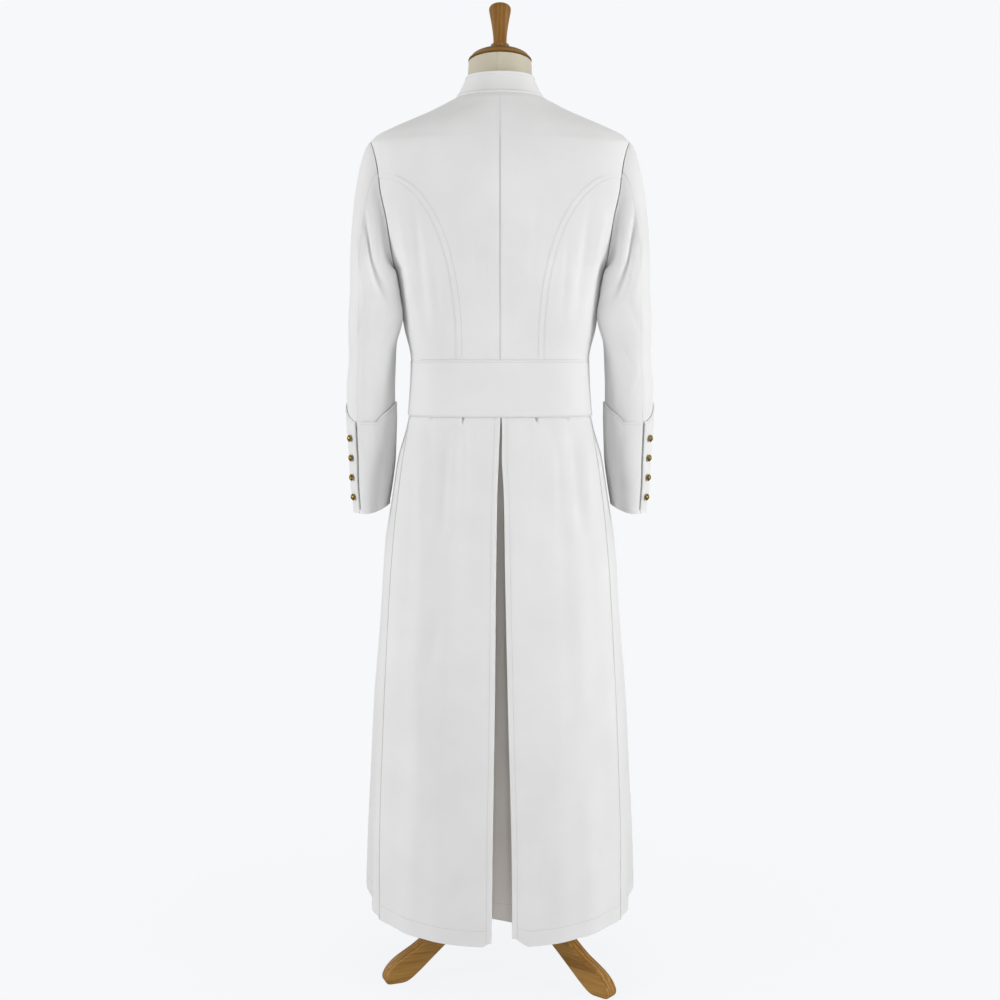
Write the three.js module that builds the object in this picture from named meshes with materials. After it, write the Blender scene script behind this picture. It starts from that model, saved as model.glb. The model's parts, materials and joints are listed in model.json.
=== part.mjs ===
// A white cassock on a limbless dress form with a wooden tripod stand.
// Millimetres, +Z up. The origin is on the floor, below the middle of the whole part.
// The back of the garment faces -Y, so the wearer's left is -X.
import * as THREE from "three";

// Driving dimensions of the cassock
const WALL = 1.6;                // cloth with its lining, as one wall
const SEAM = 0.3;                // gap between two pieces that are sewn together
const HEM_Z = 111;
const BAND_TOP = 1127;
const BAND_BOTTOM = 1027;
const NECK_Z = 1586;             // neck seam at the back and sides
const NECK_DROP = 34;            // how much lower the neck seam is at the centre front
const COLLAR_HEIGHT = 36;
const ARMHOLE_TOP = 1512;
const ARMHOLE_BOTTOM = 1288;
const ARMHOLE_SPAN = 27;         // degrees from the side line to the armhole's deepest point
const PRINCESS_TOP = 1441;       // where the princess seam meets the armhole
const FRONT_LAP = 20;            // how far each front passes the centre line

const DEG = Math.PI / 180;

// Rings of the body and skirt: half width, back and front depth from the ring's centre line,
// the centre line's place along Y, and the exponent of the superellipse.
const BODY = [
  { z: 1590, half: 71, back: 73, front: 50, mid: 0, power: 2.0 },
  { z: 1575, half: 98, back: 84, front: 60, mid: 0, power: 2.0 },
  { z: 1560, half: 129, back: 92, front: 68, mid: 0, power: 2.0 },
  { z: 1546, half: 163, back: 98, front: 76, mid: 0, power: 2.0 },
  { z: 1532, half: 196, back: 103, front: 84, mid: 0, power: 2.0 },
  { z: 1518, half: 222, back: 108, front: 91, mid: 0, power: 2.0 },
  { z: 1505, half: 231, back: 111, front: 97, mid: 0, power: 2.1 },
  { z: 1430, half: 232, back: 119, front: 115, mid: 0, power: 2.2 },
  { z: 1370, half: 219, back: 119, front: 124, mid: 0, power: 2.2 },
  { z: 1310, half: 199, back: 116, front: 125, mid: 0, power: 2.2 },
  { z: 1285, half: 187, back: 114, front: 124, mid: 0, power: 2.2 },
  { z: 1235, half: 179, back: 110, front: 120, mid: 0, power: 2.2 },
  { z: 1185, half: 172, back: 106, front: 116, mid: 0, power: 2.2 },
  { z: 1127, half: 160, back: 105, front: 112, mid: 0, power: 2.2 },
  { z: 1027, half: 166, back: 115, front: 124, mid: 0, power: 2.2 },
  { z: 950, half: 186, back: 128, front: 130, mid: 3, power: 2.2 },
  { z: 870, half: 199, back: 144, front: 132, mid: 9, power: 2.2 },
  { z: 800, half: 211, back: 157, front: 132, mid: 15, power: 2.2 },
  { z: 650, half: 223, back: 187, front: 125, mid: 30, power: 2.2 },
  { z: 500, half: 238, back: 219, front: 115, mid: 49, power: 2.2 },
  { z: 350, half: 249, back: 256, front: 98, mid: 76, power: 2.2 },
  { z: 200, half: 259, back: 289, front: 84, mid: 100, power: 2.2 },
  { z: 100, half: 264, back: 310, front: 74, mid: 117, power: 2.2 },
];

// Soft folds of the skirt: side is the angle from the centre back, depth the trough at each height.
const SKIRT_FOLDS = [
  { angle: 14, width: 5, top: 5, middle: 2, hem: 0 },
  { angle: 30, width: 6, top: 4, middle: 3, hem: 3 },
  { angle: 47, width: 8, top: 3, middle: 4, hem: 6 },
  { angle: 77, width: 10, top: 0, middle: 1, hem: 14 },
  { angle: 137, width: 9, top: 2, middle: 4, hem: 6 },
];

// Centre back pleat: half opening, how far it hangs to the right, how far the inner fold lies behind
// the skirt, and the inner fold's half width.
const PLEAT = [
  { z: 1027, open: 0.6, shift: 0, recess: 4.4, half: 42 },
  { z: 990, open: 4, shift: 0.5, recess: 5, half: 43 },
  { z: 925, open: 6.2, shift: 1, recess: 7, half: 45 },
  { z: 785, open: 7.3, shift: 1, recess: 12, half: 50 },
  { z: 546, open: 11, shift: 2.3, recess: 24, half: 56 },
  { z: 232, open: 17, shift: 3.7, recess: 37, half: 63 },
  { z: 111, open: 17.8, shift: 3.2, recess: 42, half: 66 },
];

// How the hem rises towards the pleat on each back panel: by how much, and over what width.
const HEM_CORNERS = {
  left: { rise: 7, reach: 16 },
  right: { rise: 16, reach: 28 },
};

// Outer folded edge of each back skirt panel, as a half width seen from behind.
const SIDE_FOLD = [
  { z: 1027, x: 161 },
  { z: 950, x: 178 },
  { z: 831, x: 193 },
  { z: 723, x: 202 },
  { z: 500, x: 213 },
  { z: 272, x: 223 },
  { z: 111, x: 226 },
];

// The right sleeve below the arm: ellipse centre and half sizes.
const SLEEVE = [
  { z: 1250, x: 226.5, y: 0, across: 41.5, deep: 72 },
  { z: 1185, x: 229, y: 2, across: 43.5, deep: 69 },
  { z: 1126, x: 230, y: 5, across: 42, deep: 66 },
  { z: 1072, x: 233.5, y: 8.5, across: 43.5, deep: 62 },
  { z: 1040, x: 233.5, y: 10, across: 43, deep: 60 },
  { z: 950, x: 233, y: 15, across: 39, deep: 54 },
  { z: 905, x: 234.5, y: 17, across: 36, deep: 52 },
  { z: 857, x: 235.5, y: 19, across: 30, deep: 49.5 },
];

// Slack behind the arm: the cloth falls towards the body in one soft fold. Its place round the sleeve,
// its height, its widths upwards and downwards, and its size towards the body.
const SLEEVE_FALL = { turn: -138, wide: 26, z: 1205, above: 62, below: 52, size: 22 };
const SLEEVE_TOP = SLEEVE[0].z;
const SLEEVE_END = 857;
const UPPER_FROM = -62;          // angles of the two sleeve seams, from the outer side line
const UPPER_TO = 76;

// The cuff: its bottom, its top at the slit, and how much higher the sides rise.
const CUFF_BOTTOM = 851;
const CUFF_LOW = 1017;
const CUFF_RISE = 34;
const CUFF_FLARE = 2;
const WRIST_RISE = 14;           // how much higher the sleeve and cuff end on the body's side
const SLIT_ANGLE = 60;           // from the sleeve's outer side line towards the back
const SLIT_GAP = 3;
const BUTTON_ANGLE = 40;
const BUTTON_TOP = 987;
const BUTTON_STEP = 35.4;
const BUTTON_COUNT = 4;

// The dress form and its stand
const FORM_GAP = 0.5;            // from the inside of the cloth to the form at the shoulders
const NECK_TOP = 1647;
const NECK_HALF = 55.4;
const NECK_Y = -3;
const NECK_LEAN = 9;             // degrees that the neck, cap and finial lean forwards
const MIDDLE_Y = 21;             // middle of the whole part, in front of the body's axis
const FORM_BOTTOM = 900;
const POLE_RADIUS = 14;
const HUB_Z = 150;
const LEG_COUNT = 3;
const LEG_WIDTH = 27;
const STAND_X = 13;              // the pole stands this far from the form's middle
const FIRST_LEG = -68.9;         // degrees from -Y to the leg on the left

// Value of one column of a table at height z, on a smooth curve through its rows.
function column(table, key, z) {
  const last = table.length - 1;
  const falling = table[0].z > table[last].z;
  const rows = falling ? table : [...table].reverse();
  if (z >= rows[0].z) return rows[0][key];
  if (z <= rows[last].z) return rows[last][key];
  let i = 0;
  while (rows[i + 1].z > z) i += 1;
  const span = rows[i + 1].z - rows[i].z;
  const t = (z - rows[i].z) / span;
  const slope = (a, b) => (rows[b][key] - rows[a][key]) / (rows[b].z - rows[a].z);
  const here = slope(i, i + 1);
  const before = i > 0 ? slope(i - 1, i) : here;
  const after = i + 2 <= last ? slope(i + 1, i + 2) : here;
  const m0 = before * here > 0 ? 2 * before * here / (before + here) : 0;
  const m1 = after * here > 0 ? 2 * after * here / (after + here) : 0;
  const t2 = t * t;
  const t3 = t2 * t;
  return (2 * t3 - 3 * t2 + 1) * rows[i][key] + (t3 - 2 * t2 + t) * span * m0
    + (3 * t2 - 2 * t3) * rows[i + 1][key] + (t3 - t2) * span * m1;
}

const clamp = (value, low, high) => Math.min(high, Math.max(low, value));

function smooth(low, high, value) {
  const t = clamp((value - low) / (high - low), 0, 1);
  return t * t * (3 - 2 * t);
}

const mix = (a, b, t) => a + (b - a) * t;

// Depth of the skirt's soft folds at an angle (degrees from the centre back) and height.
function foldDepth(angle, z) {
  if (z >= BAND_BOTTOM) return 0;
  const down = (BAND_BOTTOM - z) / (BAND_BOTTOM - HEM_Z);
  let depth = 0;
  for (const fold of SKIRT_FOLDS) {
    const size = down < 0.4 ? mix(fold.top, fold.middle, down / 0.4)
      : mix(fold.middle, fold.hem, (down - 0.4) / 0.6);
    const off = (Math.abs(angle) - fold.angle) / fold.width;
    depth += size * Math.exp(-off * off) * smooth(0, 0.03, down);
  }
  return depth;
}

// Point of the body at an angle in degrees from the centre back (positive to +X) and a height.
// push moves it inwards, towards the ring's middle, in the plane of the ring.
function bodyPoint(angle, z, push = 0) {
  const power = 2 / column(BODY, "power", z);
  const s = Math.sin(angle * DEG);
  const c = Math.cos(angle * DEG);
  const inner = push + foldDepth(angle, z);
  const half = column(BODY, "half", z) - inner;
  const depth = column(BODY, c > 0 ? "back" : "front", z) - inner;
  const x = half * Math.sign(s) * Math.abs(s) ** power;
  const y = column(BODY, "mid", z) - depth * Math.sign(c) * Math.abs(c) ** power;
  return new THREE.Vector3(x, y, z);
}

// Angle at which the back half of a ring has the half width x.
function angleAt(x, z) {
  const ratio = clamp(x / column(BODY, "half", z), 0, 1);
  return Math.asin(ratio ** (column(BODY, "power", z) / 2)) / DEG;
}

// Edge of the armhole: how many degrees it lies from the side line at a height.
function armholeReach(z) {
  const middle = (ARMHOLE_TOP + ARMHOLE_BOTTOM) / 2;
  const radius = (ARMHOLE_TOP - ARMHOLE_BOTTOM) / 2;
  const chord = 1 - ((z - middle) / radius) ** 2;
  return chord > 0 ? ARMHOLE_SPAN * chord ** 0.42 : 0;
}

// Princess seam: a quarter of a superellipse from the waist band up to the armhole.
function princessAngle(z) {
  const rise = clamp((z - BAND_TOP) / (PRINCESS_TOP - BAND_TOP), 0, 1);
  const waist = 75;
  const reach = 209;
  const x = waist + (reach - waist) * (1 - Math.sqrt(1 - rise ** 2.4));
  return angleAt(x, z);
}

// Mesh from points and triangles.
function solid(name, points, faces, material) {
  const geometry = new THREE.BufferGeometry();
  geometry.setAttribute("position", new THREE.Float32BufferAttribute(points.flatMap((p) => [p.x, p.y, p.z]), 3));
  geometry.setIndex(faces.flat());
  geometry.computeVertexNormals();
  const mesh = new THREE.Mesh(geometry, material);
  mesh.name = name;
  return mesh;
}

// Closed wall from two grids of the same size, an outer and an inner one.
// closed joins the last column to the first, as on a tube.
function wall(name, outer, inner, material, closed = false) {
  const rows = outer.length;
  const cols = outer[0].length;
  const points = [...outer.flat(), ...inner.flat()];
  const at = (side, r, c) => side * rows * cols + r * cols + (c % cols);
  const faces = [];
  const quad = (a, b, c, d) => faces.push([a, b, c], [a, c, d]);
  const spans = closed ? cols : cols - 1;
  for (let r = 0; r < rows - 1; r += 1) {
    for (let c = 0; c < spans; c += 1) {
      quad(at(0, r, c), at(0, r, c + 1), at(0, r + 1, c + 1), at(0, r + 1, c));
      quad(at(1, r, c), at(1, r + 1, c), at(1, r + 1, c + 1), at(1, r, c + 1));
    }
  }
  for (let c = 0; c < spans; c += 1) {
    quad(at(0, 0, c + 1), at(0, 0, c), at(1, 0, c), at(1, 0, c + 1));
    quad(at(0, rows - 1, c), at(0, rows - 1, c + 1), at(1, rows - 1, c + 1), at(1, rows - 1, c));
  }
  if (!closed) {
    for (let r = 0; r < rows - 1; r += 1) {
      quad(at(0, r, 0), at(0, r + 1, 0), at(1, r + 1, 0), at(1, r, 0));
      quad(at(0, r + 1, cols - 1), at(0, r, cols - 1), at(1, r, cols - 1), at(1, r + 1, cols - 1));
    }
  }
  const signed = faces.reduce((sum, [a, b, c]) => sum
    + points[a].dot(new THREE.Vector3().crossVectors(points[b], points[c])), 0);
  const facing = signed > 0 ? faces : faces.map(([a, b, c]) => [a, c, b]);
  return solid(name, points, facing, material);
}

// Wall of a surface: the outer grid is surface(u, v), the inner one lies a thickness along the normal.
function shell(name, surface, us, vs, material, options = {}) {
  const { closed = false, thickness = WALL, side = -1 } = options;
  const step = 1e-3;
  const outer = vs.map((v) => us.map((u) => surface(u, v)));
  const inner = vs.map((v) => us.map((u) => {
    const here = surface(u, v);
    const du = surface(u + step, v).sub(surface(u - step, v));
    const dv = surface(u, v + step).sub(surface(u, v - step));
    const normal = du.cross(dv).normalize();
    return here.addScaledVector(normal, side * thickness);
  }));
  return wall(name, outer, inner, material, closed);
}

function steps(from, to, count) {
  return Array.from({ length: count + 1 }, (_, i) => mix(from, to, i / count));
}

const cloth = new THREE.MeshStandardMaterial({ color: 0xf0f0f0, roughness: 0.85, metalness: 0 });
const linen = new THREE.MeshStandardMaterial({ color: 0xe0d8c6, roughness: 0.9, metalness: 0 });
const wood = new THREE.MeshStandardMaterial({ color: 0x8a5a2b, roughness: 0.45, metalness: 0 });
const gold = new THREE.MeshStandardMaterial({ color: 0xc9a24a, roughness: 0.3, metalness: 1 });

const cassock = new THREE.Group();

const SIDES = [
  { word: "left", sign: -1 },
  { word: "right", sign: 1 },
];

// Half of a seam's gap, as an angle on a ring of ordinary size.
const HALF_SEAM = SEAM / 2 / 140 / DEG;

// Panel of the body between two edge functions (degrees at a height), on one side of the body.
// lift(angle, z) moves its points inwards, in the plane of the ring.
function bodyPanel(name, sign, from, to, heights, count, lift = () => 0) {
  const surface = (u, z) => {
    const angle = mix(from(z) + HALF_SEAM, to(z) - HALF_SEAM, u);
    return bodyPoint(sign * angle, z, lift(angle, z));
  };
  return shell(name, surface, steps(0, 1, count), heights, cloth, { side: -sign });
}

// Rows for the body: close together where the seams turn quickly.
const LOW_ROWS = [1127.15, 1175, 1230, 1270];
const ARM_ROWS = [1289, 1294, 1310, 1335, 1370, 1400];
const HIGH_ROWS = [1418, 1430, 1437, 1440.5, 1441.2, 1462, 1484, 1500, 1511.5];
const SHOULDER_ROWS = [1522, 1538, 1556, 1573];

function sideEdge(z) {
  return 90 - armholeReach(z);
}

function backEdge(z) {
  if (z <= PRINCESS_TOP) return princessAngle(z);
  return sideEdge(z);
}

function makeBack() {
  for (const { word, sign } of SIDES) {
    const rows = [...LOW_ROWS, ...ARM_ROWS, ...HIGH_ROWS, ...SHOULDER_ROWS, NECK_Z];
    cassock.add(bodyPanel(`back_centre_${word}`, sign, () => 0, backEdge, rows, 6));
    const sideRows = [...LOW_ROWS, ...ARM_ROWS, 1418, 1430, 1437, 1440.5];
    cassock.add(bodyPanel(`back_side_${word}`, sign, princessAngle, sideEdge, sideRows, 5));
  }
}

// The fronts lap at the centre: the left one lies over, the right one sinks below it by a wall.
function lapLift(sign, angle, z) {
  if (sign < 0) return 0;
  const lap = 180 - angleAt(FRONT_LAP + 4, z);
  const slope = 1 + 1.5 * smooth(1470, 1550, z);
  return (WALL + SEAM + 0.3) * slope * smooth(lap - 12, lap, angle);
}

function frontEnd(z) {
  return 180 + angleAt(FRONT_LAP, z);
}

// Height of the neck seam at an angle from the centre back.
function neckSeam(angle) {
  return NECK_Z - NECK_DROP * smooth(90, 180, Math.abs(angle));
}

function makeFront() {
  const rows = [...LOW_ROWS, ...ARM_ROWS, ...HIGH_ROWS, ...SHOULDER_ROWS, NECK_Z];
  const top = rows.length - 1;
  for (const { word, sign } of SIDES) {
    const from = (z) => 90 + armholeReach(z);
    const surface = (u, row) => {
      const z0 = tableRow(rows, row);
      const angle0 = mix(from(z0) + HALF_SEAM, frontEnd(z0) - HALF_SEAM, u);
      const squash = (neckSeam(angle0) - rows[0]) / (rows[top] - rows[0]);
      const bend = smooth(ARMHOLE_TOP, NECK_Z, z0);
      const z = mix(z0, rows[0] + (z0 - rows[0]) * squash, bend);
      return bodyPoint(sign * angle0, z, lapLift(sign, angle0, z));
    };
    cassock.add(shell(`front_${word}`, surface, steps(0, 1, 9), steps(0, top, top), cloth, { side: -sign }));
  }
}

// Height at a fractional row of a list of heights.
function tableRow(rows, row) {
  const i = clamp(Math.floor(row), 0, rows.length - 2);
  return mix(rows[i], rows[i + 1], row - i);
}

function makeCollar() {
  const leanX = 0.23;
  const leanY = 0.16;
  const ends = 2;
  const surface = (angle, v) => {
    const low = neckSeam(angle) + SEAM + 0.7 * smooth(90, 110, Math.abs(angle));
    const base = bodyPoint(angle, low);
    const rise = v * COLLAR_HEIGHT;
    const bend = Math.sin(v * Math.PI / 2);
    const x = base.x * (1 - leanX * mix(bend, v, 0.7));
    const y = base.y * (1 - leanY * bend);
    return new THREE.Vector3(x, y - 3 * v, low + rise);
  };
  const across = steps(-180 + ends, 180 - ends, 36);
  cassock.add(shell("collar", surface, across, steps(0, 1, 3), cloth, { thickness: 1.8 }));
}

function makeBand() {
  const rows = steps(BAND_BOTTOM + SEAM / 2, BAND_TOP - SEAM / 2, 2);
  const surface = (angle, z) => bodyPoint(angle, z);
  const end = 90 - HALF_SEAM;
  cassock.add(shell("band_back", surface, steps(-end, end, 24), rows, cloth));
  for (const { word, sign } of SIDES) {
    const name = `band_front_${word}`;
    cassock.add(bodyPanel(name, sign, () => 90, frontEnd, rows, 16, (angle, z) => lapLift(sign, angle, z)));
  }
}

// Wall in the plane of each height: path(z) gives its middle line, and both faces lie half a wall off.
function foldedWall(name, path, heights, material) {
  const outer = [];
  const inner = [];
  for (const z of heights) {
    const line = path(z);
    const outerRow = [];
    const innerRow = [];
    line.forEach((p, i) => {
      const before = line[Math.max(i - 1, 0)];
      const after = line[Math.min(i + 1, line.length - 1)];
      const dx = after.x - before.x;
      const dy = after.y - before.y;
      const length = Math.hypot(dx, dy);
      const nx = dy / length * WALL / 2;
      const ny = -dx / length * WALL / 2;
      outerRow.push(new THREE.Vector3(p.x + nx, p.y + ny, z + (p.rise ?? 0)));
      innerRow.push(new THREE.Vector3(p.x - nx, p.y - ny, z + (p.rise ?? 0)));
    });
    outer.push(outerRow);
    inner.push(innerRow);
  }
  return wall(name, outer, inner, material);
}

const SKIRT_ROWS = [1026.85, 1000, 960, 900, 830, 740, 630, 500, 370, 240, HEM_Z];
const TURN = 1.35;               // radius of a pressed fold, to the middle of the wall

// Round end of a fold: from a direction of travel, turning to one side.
function turn(from, heading, angle, side, count) {
  const points = [];
  const cx = from.x - side * TURN * Math.sin(heading);
  const cy = from.y + side * TURN * Math.cos(heading);
  for (let i = 1; i <= count; i += 1) {
    const a = heading - side * Math.PI / 2 + side * angle * i / count;
    points.push({ x: cx + TURN * Math.cos(a), y: cy + TURN * Math.sin(a) });
  }
  return points;
}

// Middle line of a back skirt panel on the +X side, from the inner fold of the pleat to the side fold.
// The other panel is its mirror image, so sign turns the pleat's shift round.
function skirtBackLine(z, sign, corner) {
  const middle = WALL / 2;
  const open = column(PLEAT, "open", z) + sign * column(PLEAT, "shift", z);
  const recess = column(PLEAT, "recess", z);
  const half = column(PLEAT, "half", z);
  const first = angleAt(open + TURN + WALL / 2, z);
  const last = angleAt(column(SIDE_FOLD, "x", z), z);
  const face = steps(first, last, 11).map((a) => bodyPoint(a, z, middle));
  const start = face[0];
  const goal = { x: half, y: start.y + recess };
  const reach = Math.atan2(goal.y - start.y - 2 * TURN, goal.x - start.x);
  const bend = Math.PI - reach;
  const back = turn({ x: start.x, y: start.y }, Math.PI, bend, -1, 4);
  const ahead = { x: Math.cos(reach), y: Math.sin(reach) };
  const tip = back[back.length - 1];
  const run = Math.hypot(goal.x - tip.x, goal.y - tip.y);
  const returns = [0.5, 1].map((t) => ({ x: tip.x + ahead.x * run * t, y: tip.y + ahead.y * run * t }));
  const end = face[face.length - 1];
  const prior = face[face.length - 2];
  const heading = Math.atan2(end.y - prior.y, end.x - prior.x);
  const roll = turn(end, heading, Math.PI, 1, 4);
  const rollEnd = roll[roll.length - 1];
  const tuck = { x: rollEnd.x - 20 * Math.cos(heading), y: rollEnd.y - 20 * Math.sin(heading) };
  const edge = open + TURN;
  const low = smooth(HEM_Z + 60, HEM_Z, z);
  const rise = (x) => corner.rise * low * smooth(edge + corner.reach, edge, x);
  const lifted = (p) => ({ x: p.x, y: p.y, rise: rise(p.x) });
  const inside = [...returns.reverse(), ...back.reverse()].map((p) => ({ ...p, rise: corner.rise * low }));
  return [...inside, ...face.map(lifted), ...roll, tuck];
}

function makeSkirt() {
  for (const { word, sign } of SIDES) {
    const line = (z) => {
      const points = skirtBackLine(z, sign, HEM_CORNERS[word]).map((p) => ({ ...p, x: sign * p.x }));
      return sign > 0 ? points : points.reverse();
    };
    cassock.add(foldedWall(`skirt_back_${word}`, line, SKIRT_ROWS, cloth));
    const under = (z) => {
      const edge = angleAt(column(SIDE_FOLD, "x", z), z);
      const end = frontEnd(z);
      const sunk = 2 * TURN + 1.5 * WALL + SEAM + 0.4;
      return steps(edge - 4, end, 17).map((a) => {
        const deep = WALL / 2 + sunk * (1 - 0.75 * smooth(edge + 2, edge + 18, a));
        const p = bodyPoint(sign * a, z, deep + lapLift(sign, a, z));
        return { x: p.x, y: p.y };
      });
    };
    const front = (z) => (sign > 0 ? under(z) : under(z).reverse());
    cassock.add(foldedWall(`skirt_front_${word}`, front, SKIRT_ROWS, cloth));
  }
  const underlayHem = 145;
  const rows = [...SKIRT_ROWS.slice(0, -1), underlayHem];
  const plate = (z) => {
    const half = column(PLEAT, "half", z) - 4;
    const y = bodyPoint(angleAt(column(PLEAT, "open", z) + TURN + WALL / 2, z), z, WALL / 2).y
      + column(PLEAT, "recess", z) + WALL + SEAM + 0.6;
    return steps(-half, half, 4).map((x) => ({ x, y }));
  };
  cassock.add(foldedWall("pleat_underlay", plate, rows, cloth));
}

// Point of the armhole's edge on the body, at an angle round the sleeve: 0 outwards, 90 forwards.
function armholePoint(turnAngle) {
  const middle = (ARMHOLE_TOP + ARMHOLE_BOTTOM) / 2;
  const radius = (ARMHOLE_TOP - ARMHOLE_BOTTOM) / 2 - 1;
  const z = middle + radius * Math.cos(turnAngle * DEG);
  const reach = armholeReach(z) - 0.35;
  return bodyPoint(90 + Math.sign(Math.sin(turnAngle * DEG)) * Math.max(reach, 0), z);
}

// Ring of the sleeve below the arm, or of the cuff with extra added to its half sizes.
function sleeveRing(turnAngle, z, extra = 0) {
  const across = column(SLEEVE, "across", z) + extra;
  const deep = column(SLEEVE, "deep", z) + extra;
  return new THREE.Vector3(
    column(SLEEVE, "x", z) + across * Math.cos(turnAngle * DEG),
    column(SLEEVE, "y", z) + deep * Math.sin(turnAngle * DEG),
    z,
  );
}

// An angle round the sleeve as a value from -180 to 180.
const wrapped = (angle) => ((angle + 180) % 360 + 360) % 360 - 180;

// Moves a point of the sleeve towards the body where the slack behind the arm falls.
function withFall(point, turnAngle, share) {
  const { turn: place, wide, z, above, below, size } = SLEEVE_FALL;
  const round = wrapped(turnAngle - place) / wide;
  const up = (point.z - z) / (point.z > z ? above : below);
  point.x -= size * share * Math.exp(-round * round - up * up);
  return point;
}

// How much the wrist ends higher towards the body.
function wristRise(turnAngle) {
  return WRIST_RISE * smooth(80, 180, Math.abs(wrapped(turnAngle)));
}

// The sleeve: its cap is a curve from each armhole point to the first ring, and below that it is rings.
function sleevePoint(turnAngle, v) {
  if (v >= 1) {
    const ring = sleeveRing(turnAngle, mix(SLEEVE_TOP, SLEEVE_END + wristRise(turnAngle), v - 1));
    return withFall(ring, turnAngle, 1);
  }
  const start = armholePoint(turnAngle);
  const end = sleeveRing(turnAngle, SLEEVE_TOP);
  const top = (1 + Math.cos(turnAngle * DEG)) / 2;
  const drop = start.z - end.z;
  const leave = new THREE.Vector3(mix(26, 76, top), 0, -mix(4, 42, top));
  const arrive = new THREE.Vector3(mix(-10, -6, top), 0, -drop * 1.1);
  const v2 = v * v;
  const v3 = v2 * v;
  const point = start.clone().multiplyScalar(2 * v3 - 3 * v2 + 1)
    .addScaledVector(leave, v3 - 2 * v2 + v)
    .addScaledVector(end, 3 * v2 - 2 * v3)
    .addScaledVector(arrive, v3 - v2);
  return withFall(point, turnAngle, smooth(0, 0.6, v));
}

function mirror(point, sign) {
  return new THREE.Vector3(sign * point.x, point.y, point.z);
}

function makeSleeves() {
  const rows = [0, 0.08, 0.2, 0.38, 0.58, 0.8, 1, 1.16, 1.36, 1.56, 1.78, 2];
  const parts = [
    { name: "upper", from: UPPER_FROM, to: UPPER_TO, count: 11 },
    { name: "under", from: UPPER_TO, to: UPPER_FROM + 360, count: 17 },
  ];
  const halfSeam = 0.2;
  for (const { word, sign } of SIDES) {
    for (const { name, from, to, count } of parts) {
      const across = steps(from + halfSeam, to - halfSeam, count);
      const surface = (a, v) => mirror(sleevePoint(a, v), sign);
      cassock.add(shell(`sleeve_${name}_${word}`, surface, across, rows, cloth, { side: sign }));
    }
  }
}

// Height of the cuff's top edge: lowest at the slit, with a quick rise outwards and a slow one inwards.
function cuffTop(turnAngle) {
  const away = (turnAngle + SLIT_ANGLE + 360) % 360;
  const rise = away < 180 ? smooth(0, 80, away) : smooth(35, 130, 360 - away);
  return CUFF_LOW + CUFF_RISE * rise;
}

function cuffPoint(turnAngle, v) {
  const z = mix(CUFF_BOTTOM + wristRise(turnAngle), cuffTop(turnAngle), v);
  const clear = WALL + SEAM + 0.3;
  return sleeveRing(turnAngle, z, clear + CUFF_FLARE * smooth(0, 0.5, v));
}

function makeCuffs() {
  for (const { word, sign } of SIDES) {
    const gap = SLIT_GAP / 2 / 50 / DEG;
    const across = steps(-SLIT_ANGLE + gap, 360 - SLIT_ANGLE - gap, 30);
    const surface = (a, v) => mirror(cuffPoint(a, v), sign);
    cassock.add(shell(`cuff_${word}`, surface, across, steps(0, 1, 5), cloth, { side: -sign }));
    for (let i = 0; i < BUTTON_COUNT; i += 1) {
      addButton(`cuff_button_${word}_${i + 1}`, sign, BUTTON_TOP - i * BUTTON_STEP);
    }
  }
}

// A domed shank button that stands on the cuff, its axis square to the cloth.
function addButton(name, sign, z) {
  const low = CUFF_BOTTOM;
  const v = (z - low) / (cuffTop(-BUTTON_ANGLE) - low);
  const at = cuffPoint(-BUTTON_ANGLE, v);
  const du = cuffPoint(-BUTTON_ANGLE + 1, v).sub(cuffPoint(-BUTTON_ANGLE - 1, v));
  const dv = cuffPoint(-BUTTON_ANGLE, v + 0.01).sub(cuffPoint(-BUTTON_ANGLE, v - 0.01));
  const out = du.cross(dv).normalize();
  const foot = 0.5;
  const profile = [[0, foot], [2, foot], [2, 2.6], [6.1, 2.9], [6.5, 3.9], [5.2, 5.8], [2.6, 6.9], [0, 7.2]];
  const geometry = new THREE.LatheGeometry(profile.map(([r, y]) => new THREE.Vector2(r, y)), 10);
  const button = new THREE.Mesh(geometry, gold);
  button.name = name;
  button.position.copy(mirror(at, sign));
  button.quaternion.setFromUnitVectors(new THREE.Vector3(0, 1, 0), mirror(out, sign));
  cassock.add(button);
}

// Round piece about its own vertical axis: rows of radius and height, from the bottom to the top.
function turned(name, profile, sides, material) {
  const geometry = new THREE.LatheGeometry(profile.map(([r, z]) => new THREE.Vector2(r, z)), sides);
  geometry.rotateX(Math.PI / 2);
  const mesh = new THREE.Mesh(geometry, material);
  mesh.name = name;
  return mesh;
}

// Closed body through a stack of rings with the same number of points, flat or fanned at both ends.
function lofted(name, rings, material) {
  const count = rings[0].length;
  const middle = (ring) => ring.reduce((sum, p) => sum.add(p), new THREE.Vector3()).divideScalar(count);
  const points = [...rings.flat(), middle(rings[0]), middle(rings[rings.length - 1])];
  const bottom = points.length - 2;
  const top = points.length - 1;
  const faces = [];
  for (let i = 0; i < count; i += 1) {
    const next = (i + 1) % count;
    for (let r = 0; r < rings.length - 1; r += 1) {
      const low = r * count;
      const high = low + count;
      faces.push([low + i, low + next, high + next], [low + i, high + next, high + i]);
    }
    const last = (rings.length - 1) * count;
    faces.push([bottom, next, i], [top, last + i, last + next]);
  }
  return solid(name, points, faces, material);
}

// Angles from the centre back, once round, turning to the right as seen from above.
function roundTheBody(sides) {
  return steps(-180, 180, sides).slice(0, sides);
}

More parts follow.
